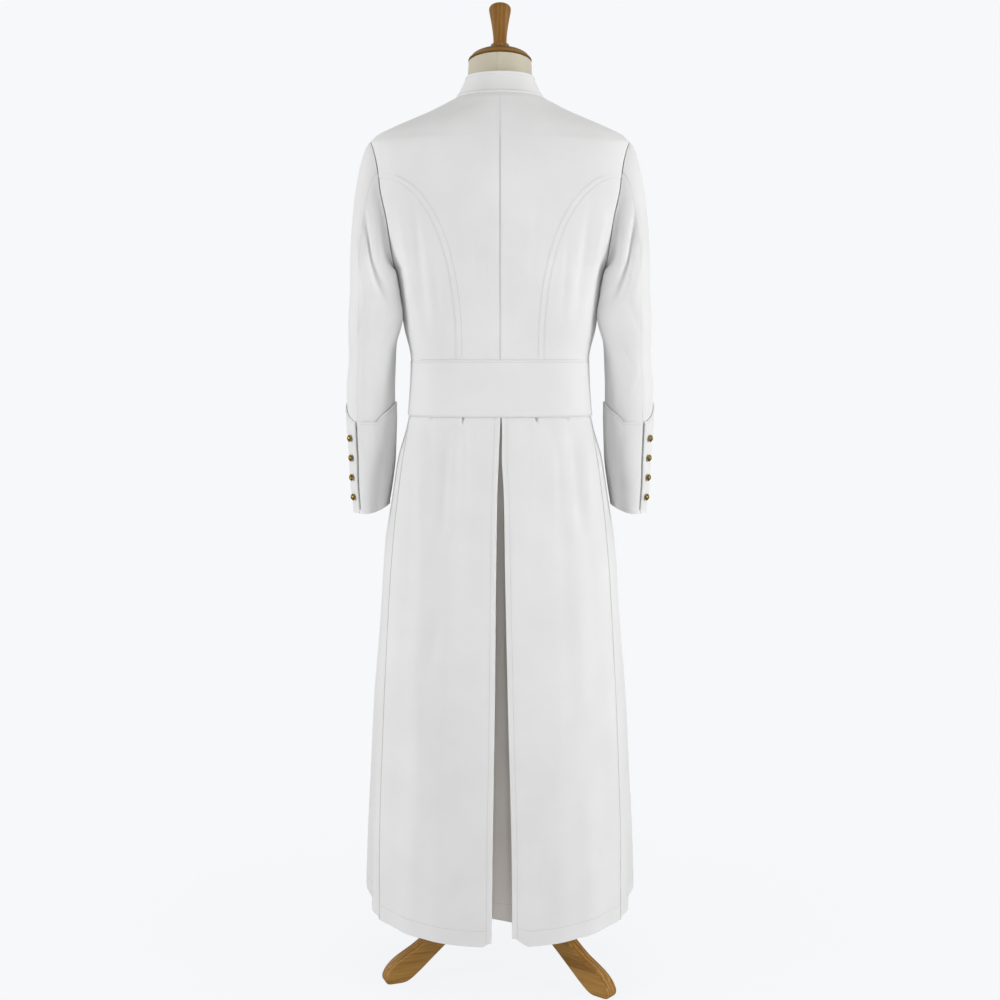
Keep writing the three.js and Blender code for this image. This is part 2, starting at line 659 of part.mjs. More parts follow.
// Ring of the form's body, seated on the shoulders only and rounded off where an arm would start.
function formRing(z, sides) {
  const limit = mix(212, 170, smooth(1500, 1290, z));
  const inset = 1.6 + 10 * smooth(1530, 1460, z) + 4 * smooth(1250, 1000, z);
  const drop = (WALL + FORM_GAP + 0.7) * smooth(1440, 1500, z);
  return roundTheBody(sides).map((angle) => {
    const at = bodyPoint(angle, z + drop, inset);
    at.x /= (1 + Math.abs(at.x / limit) ** 8) ** (1 / 8);
    at.y *= at.y > 0 ? 1 - 0.2 * smooth(1490, 1560, z) : 1;
    at.z = z;
    return at;
  });
}

// Round section of the neck; the top one leans like the cap.
function neckRing(z, half, deep, lean, sides) {
  return roundTheBody(sides).map((angle) => {
    const y = -deep * Math.cos(angle * DEG);
    return new THREE.Vector3(half * Math.sin(angle * DEG), NECK_Y + y, z - y * Math.tan(lean * DEG));
  });
}

function makeForm() {
  const sides = 28;
  const heights = [...steps(FORM_BOTTOM, 1400, 6), 1450, 1485, 1500, 1512, 1526, 1542, 1558, 1572, 1580];
  const rings = heights.map((z) => formRing(z, sides));
  rings.push(neckRing(1594, 58.5, 57, 5, sides));
  rings.push(neckRing(1618, 57, 56, 8, sides));
  rings.push(neckRing(NECK_TOP, NECK_HALF, NECK_HALF, NECK_LEAN, sides));
  cassock.add(lofted("form_torso", rings, linen));
}

function makeTop() {
  const head = new THREE.Group();
  head.position.set(0, NECK_Y, NECK_TOP + SEAM + 0.1);
  head.rotation.x = -NECK_LEAN * DEG;
  const capHeight = 25.5;
  head.add(turned("neck_cap", [[0, 0], [55.2, 0], [55.9, 2], [55.4, 4.4], [53.2, 5.4], [52, 9], [48, 14],
    [41, 18.6], [30, 22.8], [20, capHeight], [0, capHeight]], 30, wood));
  const foot = capHeight + SEAM;
  head.add(turned("finial", [[0, foot], [15.6, foot], [16.2, 28], [15.6, 31.4], [12.8, 35.4], [11.6, 41],
    [12.4, 52], [14.4, 67], [17.2, 83], [19.3, 94], [18.6, 99.4], [14.5, 103.6], [7.5, 106], [0, 106.6]],
    20, wood));
  cassock.add(head);
}

// Side profile of a leg: distance from the pole's axis and height, with the sole flat on the floor.
const LEG_PROFILE = [
  { r: 36.3, z: 150 }, { r: 75, z: 140 }, { r: 115, z: 115 }, { r: 155, z: 82 }, { r: 178, z: 64 },
  { r: 200, z: 52 }, { r: 219, z: 41 }, { r: 233, z: 28 }, { r: 240, z: 15 }, { r: 240, z: 6 },
  { r: 234, z: 0 }, { r: 202, z: 0 }, { r: 190, z: 6 }, { r: 172, z: 20 }, { r: 148, z: 41 },
  { r: 122, z: 63 }, { r: 92, z: 87 }, { r: 64, z: 104 }, { r: 36.3, z: 112 },
];

function makeStand() {
  const stand = new THREE.Group();
  stand.position.set(STAND_X, 0, 0);
  const hubTop = HUB_Z + 16;
  const poleTop = FORM_BOTTOM - SEAM;
  stand.add(turned("stand_pole", [[0, hubTop + SEAM], [POLE_RADIUS, hubTop + SEAM], [POLE_RADIUS, poleTop],
    [0, poleTop]], 16, wood));
  stand.add(turned("stand_hub", [[0, 103], [28, 103], [34.5, 106], [36, 110], [36, 154], [33, 160], [24, hubTop],
    [0, hubTop]], 24, wood));
  const shape = new THREE.Shape(LEG_PROFILE.map(({ r, z }) => new THREE.Vector2(r, z)));
  for (let i = 0; i < LEG_COUNT; i += 1) {
    const geometry = new THREE.ExtrudeGeometry(shape, {
      depth: LEG_WIDTH - 6, bevelEnabled: true, bevelThickness: 3, bevelSize: 3, bevelOffset: -3, bevelSegments: 1,
    });
    geometry.translate(0, 0, 3 - LEG_WIDTH / 2);
    geometry.rotateX(Math.PI / 2);
    const leg = new THREE.Mesh(geometry, wood);
    leg.name = `leg_${i + 1}`;
    leg.rotation.z = (FIRST_LEG - 90 + i * 360 / LEG_COUNT) * DEG;
    stand.add(leg);
  }
  cassock.add(stand);
}

makeBack();
makeFront();
makeCollar();
makeBand();
makeSkirt();
makeSleeves();
makeCuffs();
makeForm();
makeTop();
makeStand();

// The whole part is centred over its own footprint.
cassock.position.y = -MIDDLE_Y;
const part = new THREE.Group();
part.add(cassock);

export default part;
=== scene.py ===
# %% [markdown]
# This lesson dresses a white cassock, worn by a limbless dress form on a wooden tripod. The frame holds
# the solids at their real size. Each cloth panel is remade here as a fine thin wall on the same surface,
# because folds, pressed seams and stitches need more points than a solid for physics should carry.

import json
import math

import bpy
import numpy as np
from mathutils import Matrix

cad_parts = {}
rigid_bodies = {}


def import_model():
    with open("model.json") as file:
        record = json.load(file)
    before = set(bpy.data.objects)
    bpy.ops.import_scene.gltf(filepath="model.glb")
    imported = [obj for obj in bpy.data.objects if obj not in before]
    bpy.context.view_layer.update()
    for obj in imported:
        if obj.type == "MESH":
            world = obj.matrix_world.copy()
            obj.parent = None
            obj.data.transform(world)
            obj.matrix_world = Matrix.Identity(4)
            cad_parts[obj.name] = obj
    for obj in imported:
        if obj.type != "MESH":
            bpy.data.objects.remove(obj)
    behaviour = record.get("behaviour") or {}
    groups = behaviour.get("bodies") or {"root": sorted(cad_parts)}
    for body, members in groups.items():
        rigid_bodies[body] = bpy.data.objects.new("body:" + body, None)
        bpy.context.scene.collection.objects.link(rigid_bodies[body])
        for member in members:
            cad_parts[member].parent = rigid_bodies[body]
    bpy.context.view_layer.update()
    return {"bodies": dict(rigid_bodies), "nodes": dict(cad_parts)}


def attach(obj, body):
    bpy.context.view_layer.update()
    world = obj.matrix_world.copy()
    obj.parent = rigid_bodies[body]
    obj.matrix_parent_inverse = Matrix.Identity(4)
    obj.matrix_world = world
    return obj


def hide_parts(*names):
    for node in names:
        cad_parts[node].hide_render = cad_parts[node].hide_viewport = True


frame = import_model()
BODY_NAME = list(frame["bodies"])[0]
MM = 0.001
print("nodes in the frame:", len(frame["nodes"]))

# %% [markdown]
# The camera comes first. It stands behind the garment, a little above the waist, and looks slightly down,
# as the photographer did, so the collar is seen from below and the hem from above.

# %% Camera
MIDDLE_Y = 21.0                  # the part's middle lies this far in front of the body's own axis
CAMERA_DISTANCE = 2640.0         # from the body's axis
CAMERA_HEIGHT = 1130.0
FOCAL_PIXELS = 1460.0
FRAME_PIXELS = 1000.0
LEVEL_PIXELS = 142.0             # the level line lies this far above the picture's middle
TILT_DOWN = math.atan(LEVEL_PIXELS / FOCAL_PIXELS)
SENSOR = 36.0

camera_data = bpy.data.cameras.new("camera")
camera_data.sensor_width = SENSOR
camera_data.lens = SENSOR * FOCAL_PIXELS / FRAME_PIXELS
camera = bpy.data.objects.new("camera", camera_data)
camera.location = (0.0, -(CAMERA_DISTANCE + MIDDLE_Y) * MM, CAMERA_HEIGHT * MM)
camera.rotation_euler = (math.pi / 2 - TILT_DOWN, 0.0, 0.0)
bpy.context.scene.collection.objects.link(camera)
bpy.context.scene.camera = camera
bpy.context.scene.view_settings.view_transform = "Standard"
print("lens", round(camera_data.lens, 2), "mm")

# %% [markdown]
# Tables hold the garment's sections, one row for each height, in millimetres. A smooth curve runs through
# the rows of each column, with slopes that never overshoot, so no bump appears between two rows.

# %% Tables and small helpers
DEG = math.pi / 180


def table(names, rows):
    """Named columns as arrays, sorted by height."""
    data = np.array(sorted(rows), float)
    return {name: data[:, i] for i, name in enumerate(names)}


def column(rows, key, z):
    """Value of a column at the heights z: a cubic between two rows whose end slopes are the harmonic
    means of the slopes on both sides, or zero where the slope changes sign."""
    zs, values = rows["z"], rows[key]
    secant = np.diff(values) / np.diff(zs)
    before = np.concatenate([secant[:1], secant])
    after = np.concatenate([secant, secant[-1:]])
    same = before * after > 0
    slope = np.where(same, 2 * before * after / np.where(same, before + after, 1), 0)
    z = np.clip(z, zs[0], zs[-1])
    i = np.clip(np.searchsorted(zs, z, side="right") - 1, 0, len(zs) - 2)
    span = zs[i + 1] - zs[i]
    t = (z - zs[i]) / span
    return ((2 * t**3 - 3 * t**2 + 1) * values[i] + (t**3 - 2 * t**2 + t) * span * slope[i]
            + (3 * t**2 - 2 * t**3) * values[i + 1] + (t**3 - t**2) * span * slope[i + 1])


def smooth(low, high, value):
    """Zero at low, one at high, with flat ends between."""
    t = np.clip((value - low) / (high - low), 0, 1)
    return t * t * (3 - 2 * t)


def mix(a, b, t):
    """The value a share t of the way from a to b."""
    return a + (b - a) * t


WALL = 1.6
SEAM = 0.3
HEM_Z = 111.0
BAND_TOP = 1127.0
BAND_BOTTOM = 1027.0
NECK_Z = 1586.0
NECK_DROP = 34.0
COLLAR_HEIGHT = 36.0
ARMHOLE_TOP = 1512.0
ARMHOLE_BOTTOM = 1288.0
ARMHOLE_SPAN = 27.0
PRINCESS_TOP = 1441.0
FRONT_LAP = 20.0

BODY = table(("z", "half", "back", "front", "mid", "power"), [
    (1590, 71, 73, 50, 0, 2.0), (1575, 98, 84, 60, 0, 2.0), (1560, 129, 92, 68, 0, 2.0),
    (1546, 163, 98, 76, 0, 2.0), (1532, 196, 103, 84, 0, 2.0), (1518, 222, 108, 91, 0, 2.0),
    (1505, 231, 111, 97, 0, 2.1), (1430, 232, 119, 115, 0, 2.2), (1370, 219, 119, 124, 0, 2.2),
    (1310, 199, 116, 125, 0, 2.2), (1285, 187, 114, 124, 0, 2.2), (1235, 179, 110, 120, 0, 2.2),
    (1185, 172, 106, 116, 0, 2.2), (1127, 160, 105, 112, 0, 2.2), (1027, 166, 115, 124, 0, 2.2),
    (950, 186, 128, 130, 3, 2.2), (870, 199, 144, 132, 9, 2.2), (800, 211, 157, 132, 15, 2.2),
    (650, 223, 187, 125, 30, 2.2), (500, 238, 219, 115, 49, 2.2), (350, 249, 256, 98, 76, 2.2),
    (200, 259, 289, 84, 100, 2.2), (100, 264, 310, 74, 117, 2.2)])


# %% [markdown]
# The skirt hangs in a few soft folds that start at small tucks under the band. Each fold is a trough whose
# depth changes down the skirt, and its section is a bell curve.

# %% Skirt folds and the body's surface
SKIRT_FOLDS = [
    # angle from the centre back, width, and depth at the top, the middle and the hem
    (14, 6, 3, 2, 0), (30, 6, 4, 3, 3), (47, 8, 3, 4, 6), (77, 10, 0, 1, 14), (137, 9, 2, 4, 6)]


def fold_depth(angle, z):
    """Sum of bell curves round the skirt: depth times exp(-(distance / width) squared)."""
    down = np.clip((BAND_BOTTOM - z) / (BAND_BOTTOM - HEM_Z), 0, None)
    depth = 0
    for place, width, top, middle, hem in SKIRT_FOLDS:
        size = np.where(down < 0.4, mix(top, middle, down / 0.4), mix(middle, hem, (down - 0.4) / 0.6))
        depth = depth + size * np.exp(-((np.abs(angle) - place) / width) ** 2) * smooth(0, 0.03, down)
    return depth


# Soft troughs and ridges: from one point of the cloth to another, as seen from behind.
BACK_CREASES = [
    # x and z of both ends, width, depth (a ridge is negative)
    (-150, 1400, -128, 1170, 9, 3.0), (-176, 1390, -150, 1210, 7, -2.5), (-120, 1330, -104, 1180, 7, 1.8),
    (158, 1400, 131, 1175, 9, 3.0), (182, 1385, 156, 1230, 7, -2.5), (118, 1340, 108, 1190, 6, 1.6),
    (-48, 1400, -40, 1240, 10, 1.4), (66, 1420, 52, 1250, 9, 1.8), (24, 1410, 22, 1260, 8, 1.0),
    (-105, 1545, -38, 1572, 9, 1.6), (105, 1545, 38, 1572, 9, 1.6),
    (-125, 1220, -30, 1165, 10, 1.2), (130, 1215, 30, 1160, 10, 1.2)]
SKIRT_CREASES = [
    (-118, 1018, -124, 850, 13, 2.6), (-62, 1022, -72, 870, 10, 1.8), (62, 1022, 67, 860, 10, 1.6),
    (118, 1018, 128, 840, 13, 2.4), (-136, 1000, -147, 810, 11, -2.6), (-96, 990, -102, 800, 13, 2.4),
    (150, 985, 164, 800, 9, -2.6), (132, 990, 143, 820, 8, 2.0), (92, 1000, 96, 850, 9, -1.6),
    (-95, 700, -150, 560, 16, 2.2), (96, 640, 74, 470, 14, 2.0), (-80, 480, -96, 300, 18, 1.8),
    (150, 560, 160, 330, 18, 2.5), (-165, 520, -172, 250, 16, 2.5), (60, 330, 72, 150, 14, 2.0)]


TUCKS = [
    # x, how deep the tuck pinches the cloth, and how far down it shows
    (64, 7.0, 13), (119, 3.0, 8), (-65, 7.0, 15), (-121, 3.0, 9)]


def tucks(x, z):
    """Each tuck is a narrow bell curve across, deepest at the band, with a soft ridge lower down."""
    down = BAND_BOTTOM - z
    depth = 0
    for place, size, reach in TUCKS:
        depth = depth + size * np.exp(-((x - place) / 2.2) ** 2) * smooth(reach, 0, down)
        ridge = place - math.copysign(5, place)
        low = smooth(2, 30, down) * smooth(190, 60, down)
        depth = depth - 0.1 * size * np.exp(-((x - ridge) / 5) ** 2) * low
    return depth


def troughs(rows, x, z):
    """Depth at cloth points (x, z): for each row a bell curve of the distance to a line, that fades to
    nothing at both ends of the line."""
    depth = 0
    for x0, z0, x1, z1, width, size in rows:
        dx, dz = x1 - x0, z1 - z0
        length = math.hypot(dx, dz)
        along = ((x - x0) * dx + (z - z0) * dz) / length**2
        off = ((x - x0) * dz - (z - z0) * dx) / length
        fade = smooth(-0.1, 0.35, along) * smooth(1.1, 0.65, along)
        depth = depth + size * np.exp(-(off / width) ** 2) * fade
    return depth


def eased(key, z, soft):
    """A column of the body, blurred along the height by a share: the mean of five values 9 mm apart."""
    mean = sum(column(BODY, key, z + step) for step in (-18, -9, 0, 9, 18)) / 5
    return mix(column(BODY, key, z), mean, soft)


def body_point(angle, z, push=0.0, relief=True):
    """Point of a superellipse ring: x is the half width times sine to 2/power, y the depth times cosine
    to 2/power, with the folds taken off both half sizes."""
    angle, z = np.broadcast_arrays(np.asarray(angle, float), np.asarray(z, float))
    power = 2 / column(BODY, "power", z)
    s, c = np.sin(angle * DEG), np.cos(angle * DEG)
    inner = push + np.where(z < BAND_BOTTOM, fold_depth(angle, z), 0)
    soft = smooth(74, 50, np.abs(angle)) * smooth(1440, 1470, z) * smooth(1586, 1566, z)
    half = eased("half", z, soft)
    x = half * np.sign(s) * np.abs(s) ** power
    if relief:
        behind = smooth(100, 80, np.abs(angle))
        creases = np.where(z > BAND_TOP, troughs(BACK_CREASES, x, z), troughs(SKIRT_CREASES, x, z))
        inner = inner + creases * behind * smooth(0, 12, np.abs(z - (BAND_TOP + BAND_BOTTOM) / 2) - 50)
        inner = inner + np.where(z < BAND_BOTTOM, tucks(x, z), 0) * behind
    half = half - inner
    depth = np.where(c > 0, eased("back", z, soft), column(BODY, "front", z)) - inner
    x = half * np.sign(s) * np.abs(s) ** power
    y = column(BODY, "mid", z) - depth * np.sign(c) * np.abs(c) ** power
    return np.stack([x, y, z], axis=-1)


def angle_at(x, z):
    """Angle at which the back half of the ring at height z has the half width x."""
    ratio = np.clip(x / column(BODY, "half", z), 0, 1)
    return np.arcsin(ratio ** (column(BODY, "power", z) / 2)) / DEG


def armhole_reach(z):
    """How many degrees the armhole's edge lies from the side line: an oval between its top and bottom."""
    middle = (ARMHOLE_TOP + ARMHOLE_BOTTOM) / 2
    radius = (ARMHOLE_TOP - ARMHOLE_BOTTOM) / 2
    return ARMHOLE_SPAN * np.clip(1 - ((z - middle) / radius) ** 2, 0, None) ** 0.42


def princess_angle(z):
    """Princess seam: a quarter of a superellipse from the waist up to the armhole."""
    rise = np.clip((z - BAND_TOP) / (PRINCESS_TOP - BAND_TOP), 0, 1)
    return angle_at(75 + (209 - 75) * (1 - np.sqrt(1 - rise**2.4)), z)


def side_edge(z):
    """Back edge of the armhole, or the side line below and above it."""
    return 90 - armhole_reach(z)


def back_edge(z):
    """Outer edge of a centre back panel."""
    return np.where(z <= PRINCESS_TOP, princess_angle(z), side_edge(z))


# %% [markdown]
# A panel becomes a mesh as two grids, the face and the lining, joined round the edge. The lining lies one
# wall thickness along the normal. A UV map in metres along the cloth lets the weave follow each panel.

# %% From a surface to a thin wall
PIECES = {}


def lengths(points, axis):
    """Distance along the grid lines of one axis, from zero, in metres."""
    step = np.linalg.norm(np.diff(points, axis=axis), axis=-1)
    start = np.zeros_like(np.take(step, [0], axis=axis))
    return np.concatenate([start, np.cumsum(step, axis=axis)], axis=axis)


def grid_faces(rows, cols, closed=False, flip=False, first=0):
    """Quads of a grid of points, row after row."""
    r = np.arange(rows - 1)[:, None]
    c = np.arange(cols if closed else cols - 1)[None, :]
    d = (c + 1) % cols
    quads = np.stack([r * cols + c, r * cols + d, (r + 1) * cols + d, (r + 1) * cols + c], axis=-1)
    quads = quads.reshape(-1, 4) + first
    return quads[:, ::-1] if flip else quads


def new_piece(name, points, faces, material, uv=None, body=BODY_NAME, sharp=40):
    """Mesh object from points in millimetres about the body's axis, with smooth faces."""
    points = np.asarray(points, float).reshape(-1, 3) * MM
    points[:, 1] -= MIDDLE_Y * MM
    mesh = bpy.data.meshes.new(name)
    mesh.from_pydata(points.tolist(), [], [list(f) for f in faces])
    mesh.update()
    mesh.polygons.foreach_set("use_smooth", np.ones(len(mesh.polygons), bool))
    if uv is not None:
        layer = mesh.uv_layers.new(name="cloth")
        corner = np.empty(len(mesh.loops), np.int32)
        mesh.loops.foreach_get("vertex_index", corner)
        layer.data.foreach_set("uv", uv.reshape(-1, 2)[corner].ravel())
    mesh.set_sharp_from_angle(angle=math.radians(sharp))
    mesh.materials.append(material)
    piece = bpy.data.objects.new(name, mesh)
    bpy.context.scene.collection.objects.link(piece)
    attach(piece, body)
    PIECES[name] = piece
    return piece


def wall_piece(name, outer, inner, material, closed=False):
    """Closed wall from two grids of the same shape. The faces are turned to point outwards."""
    rows, cols = outer.shape[:2]
    count = rows * cols
    faces = [grid_faces(rows, cols, closed), grid_faces(rows, cols, closed, True, count)]
    ends = np.arange(cols if closed else cols - 1)
    nxt = (ends + 1) % cols
    low = np.stack([nxt, ends, ends + count, nxt + count], axis=-1)
    top = (rows - 1) * cols
    high = np.stack([ends + top, nxt + top, nxt + top + count, ends + top + count], axis=-1)
    faces += [low, high]
    if not closed:
        r = np.arange(rows - 1) * cols
        faces.append(np.stack([r, r + cols, r + cols + count, r + count], axis=-1))
        e = r + cols - 1
        faces.append(np.stack([e + cols, e, e + count, e + cols + count], axis=-1))
    faces = np.concatenate(faces)
    points = np.concatenate([outer.reshape(-1, 3), inner.reshape(-1, 3)])
    a, b, c = points[faces[:, 0]], points[faces[:, 1]], points[faces[:, 2]]
    if np.einsum("ij,ij->i", a, np.cross(b, c)).sum() < 0:
        faces = faces[:, ::-1]
    across = lengths(outer, 1) * MM
    along = lengths(outer, 0) * MM
    uv = np.stack([across - across[:, cols // 2][:, None], along], axis=-1)
    piece = new_piece(name, points, faces, material, np.concatenate([uv.reshape(-1, 2)] * 2))
    piece["cut"] = cut_of(outer)
    return piece


def cut_of(outer):
    """Width, length and area of a panel laid flat, in metres: its longest row and column, and the sum of
    its quads."""
    a, b = outer[:-1, :-1], outer[:-1, 1:]
    c, d = outer[1:, 1:], outer[1:, :-1]
    area = 0.5 * np.linalg.norm(np.cross(c - a, d - b), axis=-1).sum() * MM * MM
    return [float(lengths(outer, 1)[:, -1].max() * MM), float(lengths(outer, 0)[-1].max() * MM), float(area)]


def slopes_cross(surface, u, v):
    """Cross product of a surface's two slopes, each taken over a small step to both sides."""
    step = 1e-3
    along_u = surface(u + step, v) - surface(u - step, v)
    along_v = surface(u, v + step) - surface(u, v - step)
    return np.cross(along_u, along_v)


def mirrored(surface, sign):
    """The same surface for one side of the garment: x is multiplied by the side's sign."""
    return lambda u, v: surface(u, v) * np.array([sign, 1, 1])


def shell_piece(name, surface, us, vs, material, thickness=WALL, side=-1, closed=False):
    """Wall of surface(u, v): the inner grid lies along the cross product of the two slopes."""
    u, v = np.meshgrid(np.asarray(us, float), np.asarray(vs, float))
    outer = surface(u, v)
    normal = slopes_cross(surface, u, v)
    normal /= np.maximum(np.linalg.norm(normal, axis=-1, keepdims=True), 1e-12)
    return wall_piece(name, outer, outer + normal * side * thickness, material, closed)


# %% [markdown]
# The cloth is a matt white suiting. Its weave is far finer than a pixel from across the room, so it is a
# bump on the panel's own UV map, and a slow noise keeps large areas from looking like plastic.

# %% Cloth material
def node_material(name):
    """New material with its tree emptied down to one Principled shader and an output."""
    material = bpy.data.materials.new(name)
    material.use_nodes = True
    nodes = material.node_tree.nodes
    return material, nodes, material.node_tree.links, nodes["Principled BSDF"]


def weave_material(name, light, dark, pitch, depth, rough, sheen):
    """Two bands at right angles on the cloth's UV map make the weave, and noise shades the colour."""
    material, nodes, links, shader = node_material(name)
    uv = nodes.new("ShaderNodeUVMap")
    uv.uv_map = "cloth"
    bands = []
    for direction in ("X", "Y"):
        wave = nodes.new("ShaderNodeTexWave")
        wave.bands_direction = direction
        wave.inputs["Scale"].default_value = math.pi / 10 / pitch
        wave.inputs["Distortion"].default_value = 0.6
        links.new(uv.outputs["UV"], wave.inputs["Vector"])
        bands.append(wave)
    crossing = nodes.new("ShaderNodeMath")
    crossing.operation = "MAXIMUM"
    links.new(bands[0].outputs["Fac"], crossing.inputs[0])
    links.new(bands[1].outputs["Fac"], crossing.inputs[1])
    slub = nodes.new("ShaderNodeTexNoise")
    slub.inputs["Scale"].default_value = 9.0
    slub.inputs["Detail"].default_value = 6.0
    place = nodes.new("ShaderNodeTexCoord")
    links.new(place.outputs["Object"], slub.inputs["Vector"])
    ramp = nodes.new("ShaderNodeValToRGB")
    ramp.color_ramp.elements[0].position = 0.3
    ramp.color_ramp.elements[0].color = (*dark, 1)
    ramp.color_ramp.elements[1].position = 0.7
    ramp.color_ramp.elements[1].color = (*light, 1)
    links.new(slub.outputs["Fac"], ramp.inputs["Fac"])
    links.new(ramp.outputs["Color"], shader.inputs["Base Color"])
    bump = nodes.new("ShaderNodeBump")
    bump.inputs["Strength"].default_value = 0.35
    bump.inputs["Distance"].default_value = depth
    links.new(crossing.outputs["Value"], bump.inputs["Height"])
    links.new(bump.outputs["Normal"], shader.inputs["Normal"])
    shader.inputs["Roughness"].default_value = rough
    shader.inputs["Sheen Weight"].default_value = sheen
    shader.inputs["Sheen Roughness"].default_value = 0.5
    shader.inputs["Specular IOR Level"].default_value = 0.25
    return material


white_suiting = weave_material("white_suiting", (0.83, 0.832, 0.828), (0.785, 0.788, 0.782), 0.0006, 0.0002,
                               0.82, 0.1)
# Painted shade: the pleat underlay is a darker, warmer copy of the white suiting, standing in for the shade
# deep inside the pleat.
pleat_suiting_painted_shade = weave_material("pleat_suiting_painted_shade", (0.72, 0.68, 0.645), (0.66, 0.62, 0.585), 0.0006, 0.0002,
                               0.88, 0.05)

# Painted shade: the underlay's colour is scaled down high up in the pleat, where the recess is deepest, and up
# near the hem.
pleat_nodes, pleat_links = pleat_suiting_painted_shade.node_tree.nodes, pleat_suiting_painted_shade.node_tree.links
pleat_place = pleat_nodes.new("ShaderNodeTexCoord")
pleat_axes = pleat_nodes.new("ShaderNodeSeparateXYZ")
pleat_links.new(pleat_place.outputs["Object"], pleat_axes.inputs["Vector"])
painted_pleat_shade = pleat_nodes.new("ShaderNodeMapRange")
painted_pleat_shade.inputs["From Min"].default_value = 0.16
painted_pleat_shade.inputs["From Max"].default_value = 0.85
painted_pleat_shade.inputs["To Min"].default_value = 1.18
painted_pleat_shade.inputs["To Max"].default_value = 0.72
pleat_links.new(pleat_axes.outputs["Z"], painted_pleat_shade.inputs["Value"])
shaded = pleat_nodes.new("ShaderNodeVectorMath")
shaded.operation = "SCALE"
pleat_colour = pleat_nodes["Principled BSDF"].inputs["Base Color"]
pleat_links.new(pleat_colour.links[0].from_socket, shaded.inputs[0])
pleat_links.new(painted_pleat_shade.outputs["Result"], shaded.inputs["Scale"])
pleat_links.new(shaded.outputs["Vector"], pleat_colour)

# %% [markdown]
# Each bodice panel runs between two edge curves, given as angles round the body. The seams stay 0.3 mm
# open, and that thin dark line with its soft valley is what reads as a seam from a distance.

# %% Bodice panels
SIDES = (("left", -1), ("right", 1))
SEAM_RADIUS = 140.0              # mean radii that turn a length along the cloth into an angle
BODICE_RADIUS = 150.0
HALF_SEAM = SEAM / 2 / SEAM_RADIUS / DEG


def spread(parts):
    """Joined even steps: each part is (from, to, count), and shared ends appear once."""
    values = [np.linspace(a, b, n, endpoint=False) for a, b, n in parts]
    return np.concatenate(values + [[parts[-1][1]]])


def seam_valley(angle, z, edges):
    """The cloth dips beside each seam: a bell curve of the distance to the edge, in millimetres."""
    depth = 0
    for edge, width, size in edges:
        off = (angle - edge(z)) * DEG * BODICE_RADIUS
        depth = depth + size * np.exp(-(off / width) ** 2)
    return depth


def pressed_allowance(angle, z):
    """The seam's turned allowances lift the cloth a little out to 14 mm each side of the centre back."""
    x = np.abs(angle) * DEG * BODICE_RADIUS
    return -0.45 * smooth(16, 13, x)


def front_end(z):
    """The edge of a front, past the centre line by the lap."""
    return 180 + angle_at(FRONT_LAP, z)


def lap_lift(sign, angle, z):
    """The right front sinks below the left one where they lap."""
    if sign < 0:
        return 0 * angle
    lap = 180 - angle_at(FRONT_LAP + 4, z)
    slope = 1 + 1.5 * smooth(1470, 1550, z)
    return (WALL + SEAM + 0.3) * slope * smooth(lap - 12, lap, angle)


def neck_seam(angle):
    """Height of the neck seam at an angle from the centre back."""
    return NECK_Z - NECK_DROP * smooth(90, 180, np.abs(angle))


def cuts(low, high, count):
    """Rows that crowd towards both ends of a span, as a cosine does."""
    return low + (high - low) * (1 - np.cos(np.linspace(0, math.pi, count))) / 2


LOW = np.linspace(BAND_TOP + SEAM / 2, ARMHOLE_BOTTOM, 50)[:-1]
MIDDLE = cuts(ARMHOLE_BOTTOM + 0.5, PRINCESS_TOP, 76)
HIGH = cuts(PRINCESS_TOP + 1, ARMHOLE_TOP - 0.5, 44)
SHOULDER = np.linspace(ARMHOLE_TOP + 2, NECK_Z, 26)


def body_panel(name, sign, start, stop, rows, us, push):
    """Panel between two edge functions; push(angle, z) sinks its points."""
    def surface(u, z):
        angle = mix(start(z) + HALF_SEAM, stop(z) - HALF_SEAM, u)
        return body_point(sign * angle, z, push(angle, z))
    return shell_piece(name, surface, us, rows, white_suiting, side=-sign)


centre_us = spread([(0, 0.13, 18), (0.13, 0.8, 40), (0.8, 1, 26)])
side_us = spread([(0, 0.1, 8), (0.1, 0.9, 40), (0.9, 1, 8)])
TOPSTITCH = 9.0
seam_curve_z = BAND_TOP + (PRINCESS_TOP - BAND_TOP) * np.sin(np.linspace(0, math.pi / 2, 90))
seam_curve = body_point(princess_angle(seam_curve_z), seam_curve_z, relief=False)[:, [0, 2]]


def princess_distance(angle, z):
    """Shortest distance, seen from behind, to the princess seam's curve."""
    flat = body_point(np.abs(angle), z, relief=False)[..., [0, 2]]
    return np.linalg.norm(flat[..., None, :] - seam_curve, axis=-1).min(axis=-1)


def centre_push(angle, z):
    """Sum of the valleys at the centre back and the armhole, the pressed allowance, a strip raised along the
    princess seam as wide as its topstitch, and bell curves sunk at seam, stitches and collar."""
    edges = [(lambda h: 0 * h, 1.6, 0.7 - 0.5 * smooth(1470, 1540, z)), (side_edge, 1.8, 0.8)]
    away = princess_distance(angle, z)
    sewn_down = 0.5 * np.exp(-((away - TOPSTITCH) / 1.1) ** 2) + 0.6 * np.exp(-(away / 1.6) ** 2)
    raised = -0.6 * smooth(TOPSTITCH + 4, TOPSTITCH - 2, away)
    under_collar = 0.9 * np.exp(-((z - NECK_Z) / 3.5) ** 2)
    return seam_valley(angle, z, edges) + pressed_allowance(angle, z) + sewn_down + raised + under_collar


def side_push(angle, z):
    """Sum of the valleys beside the princess seam and the armhole."""
    return seam_valley(angle, z, [(princess_angle, 1.8, 0.8), (side_edge, 1.8, 0.8)])


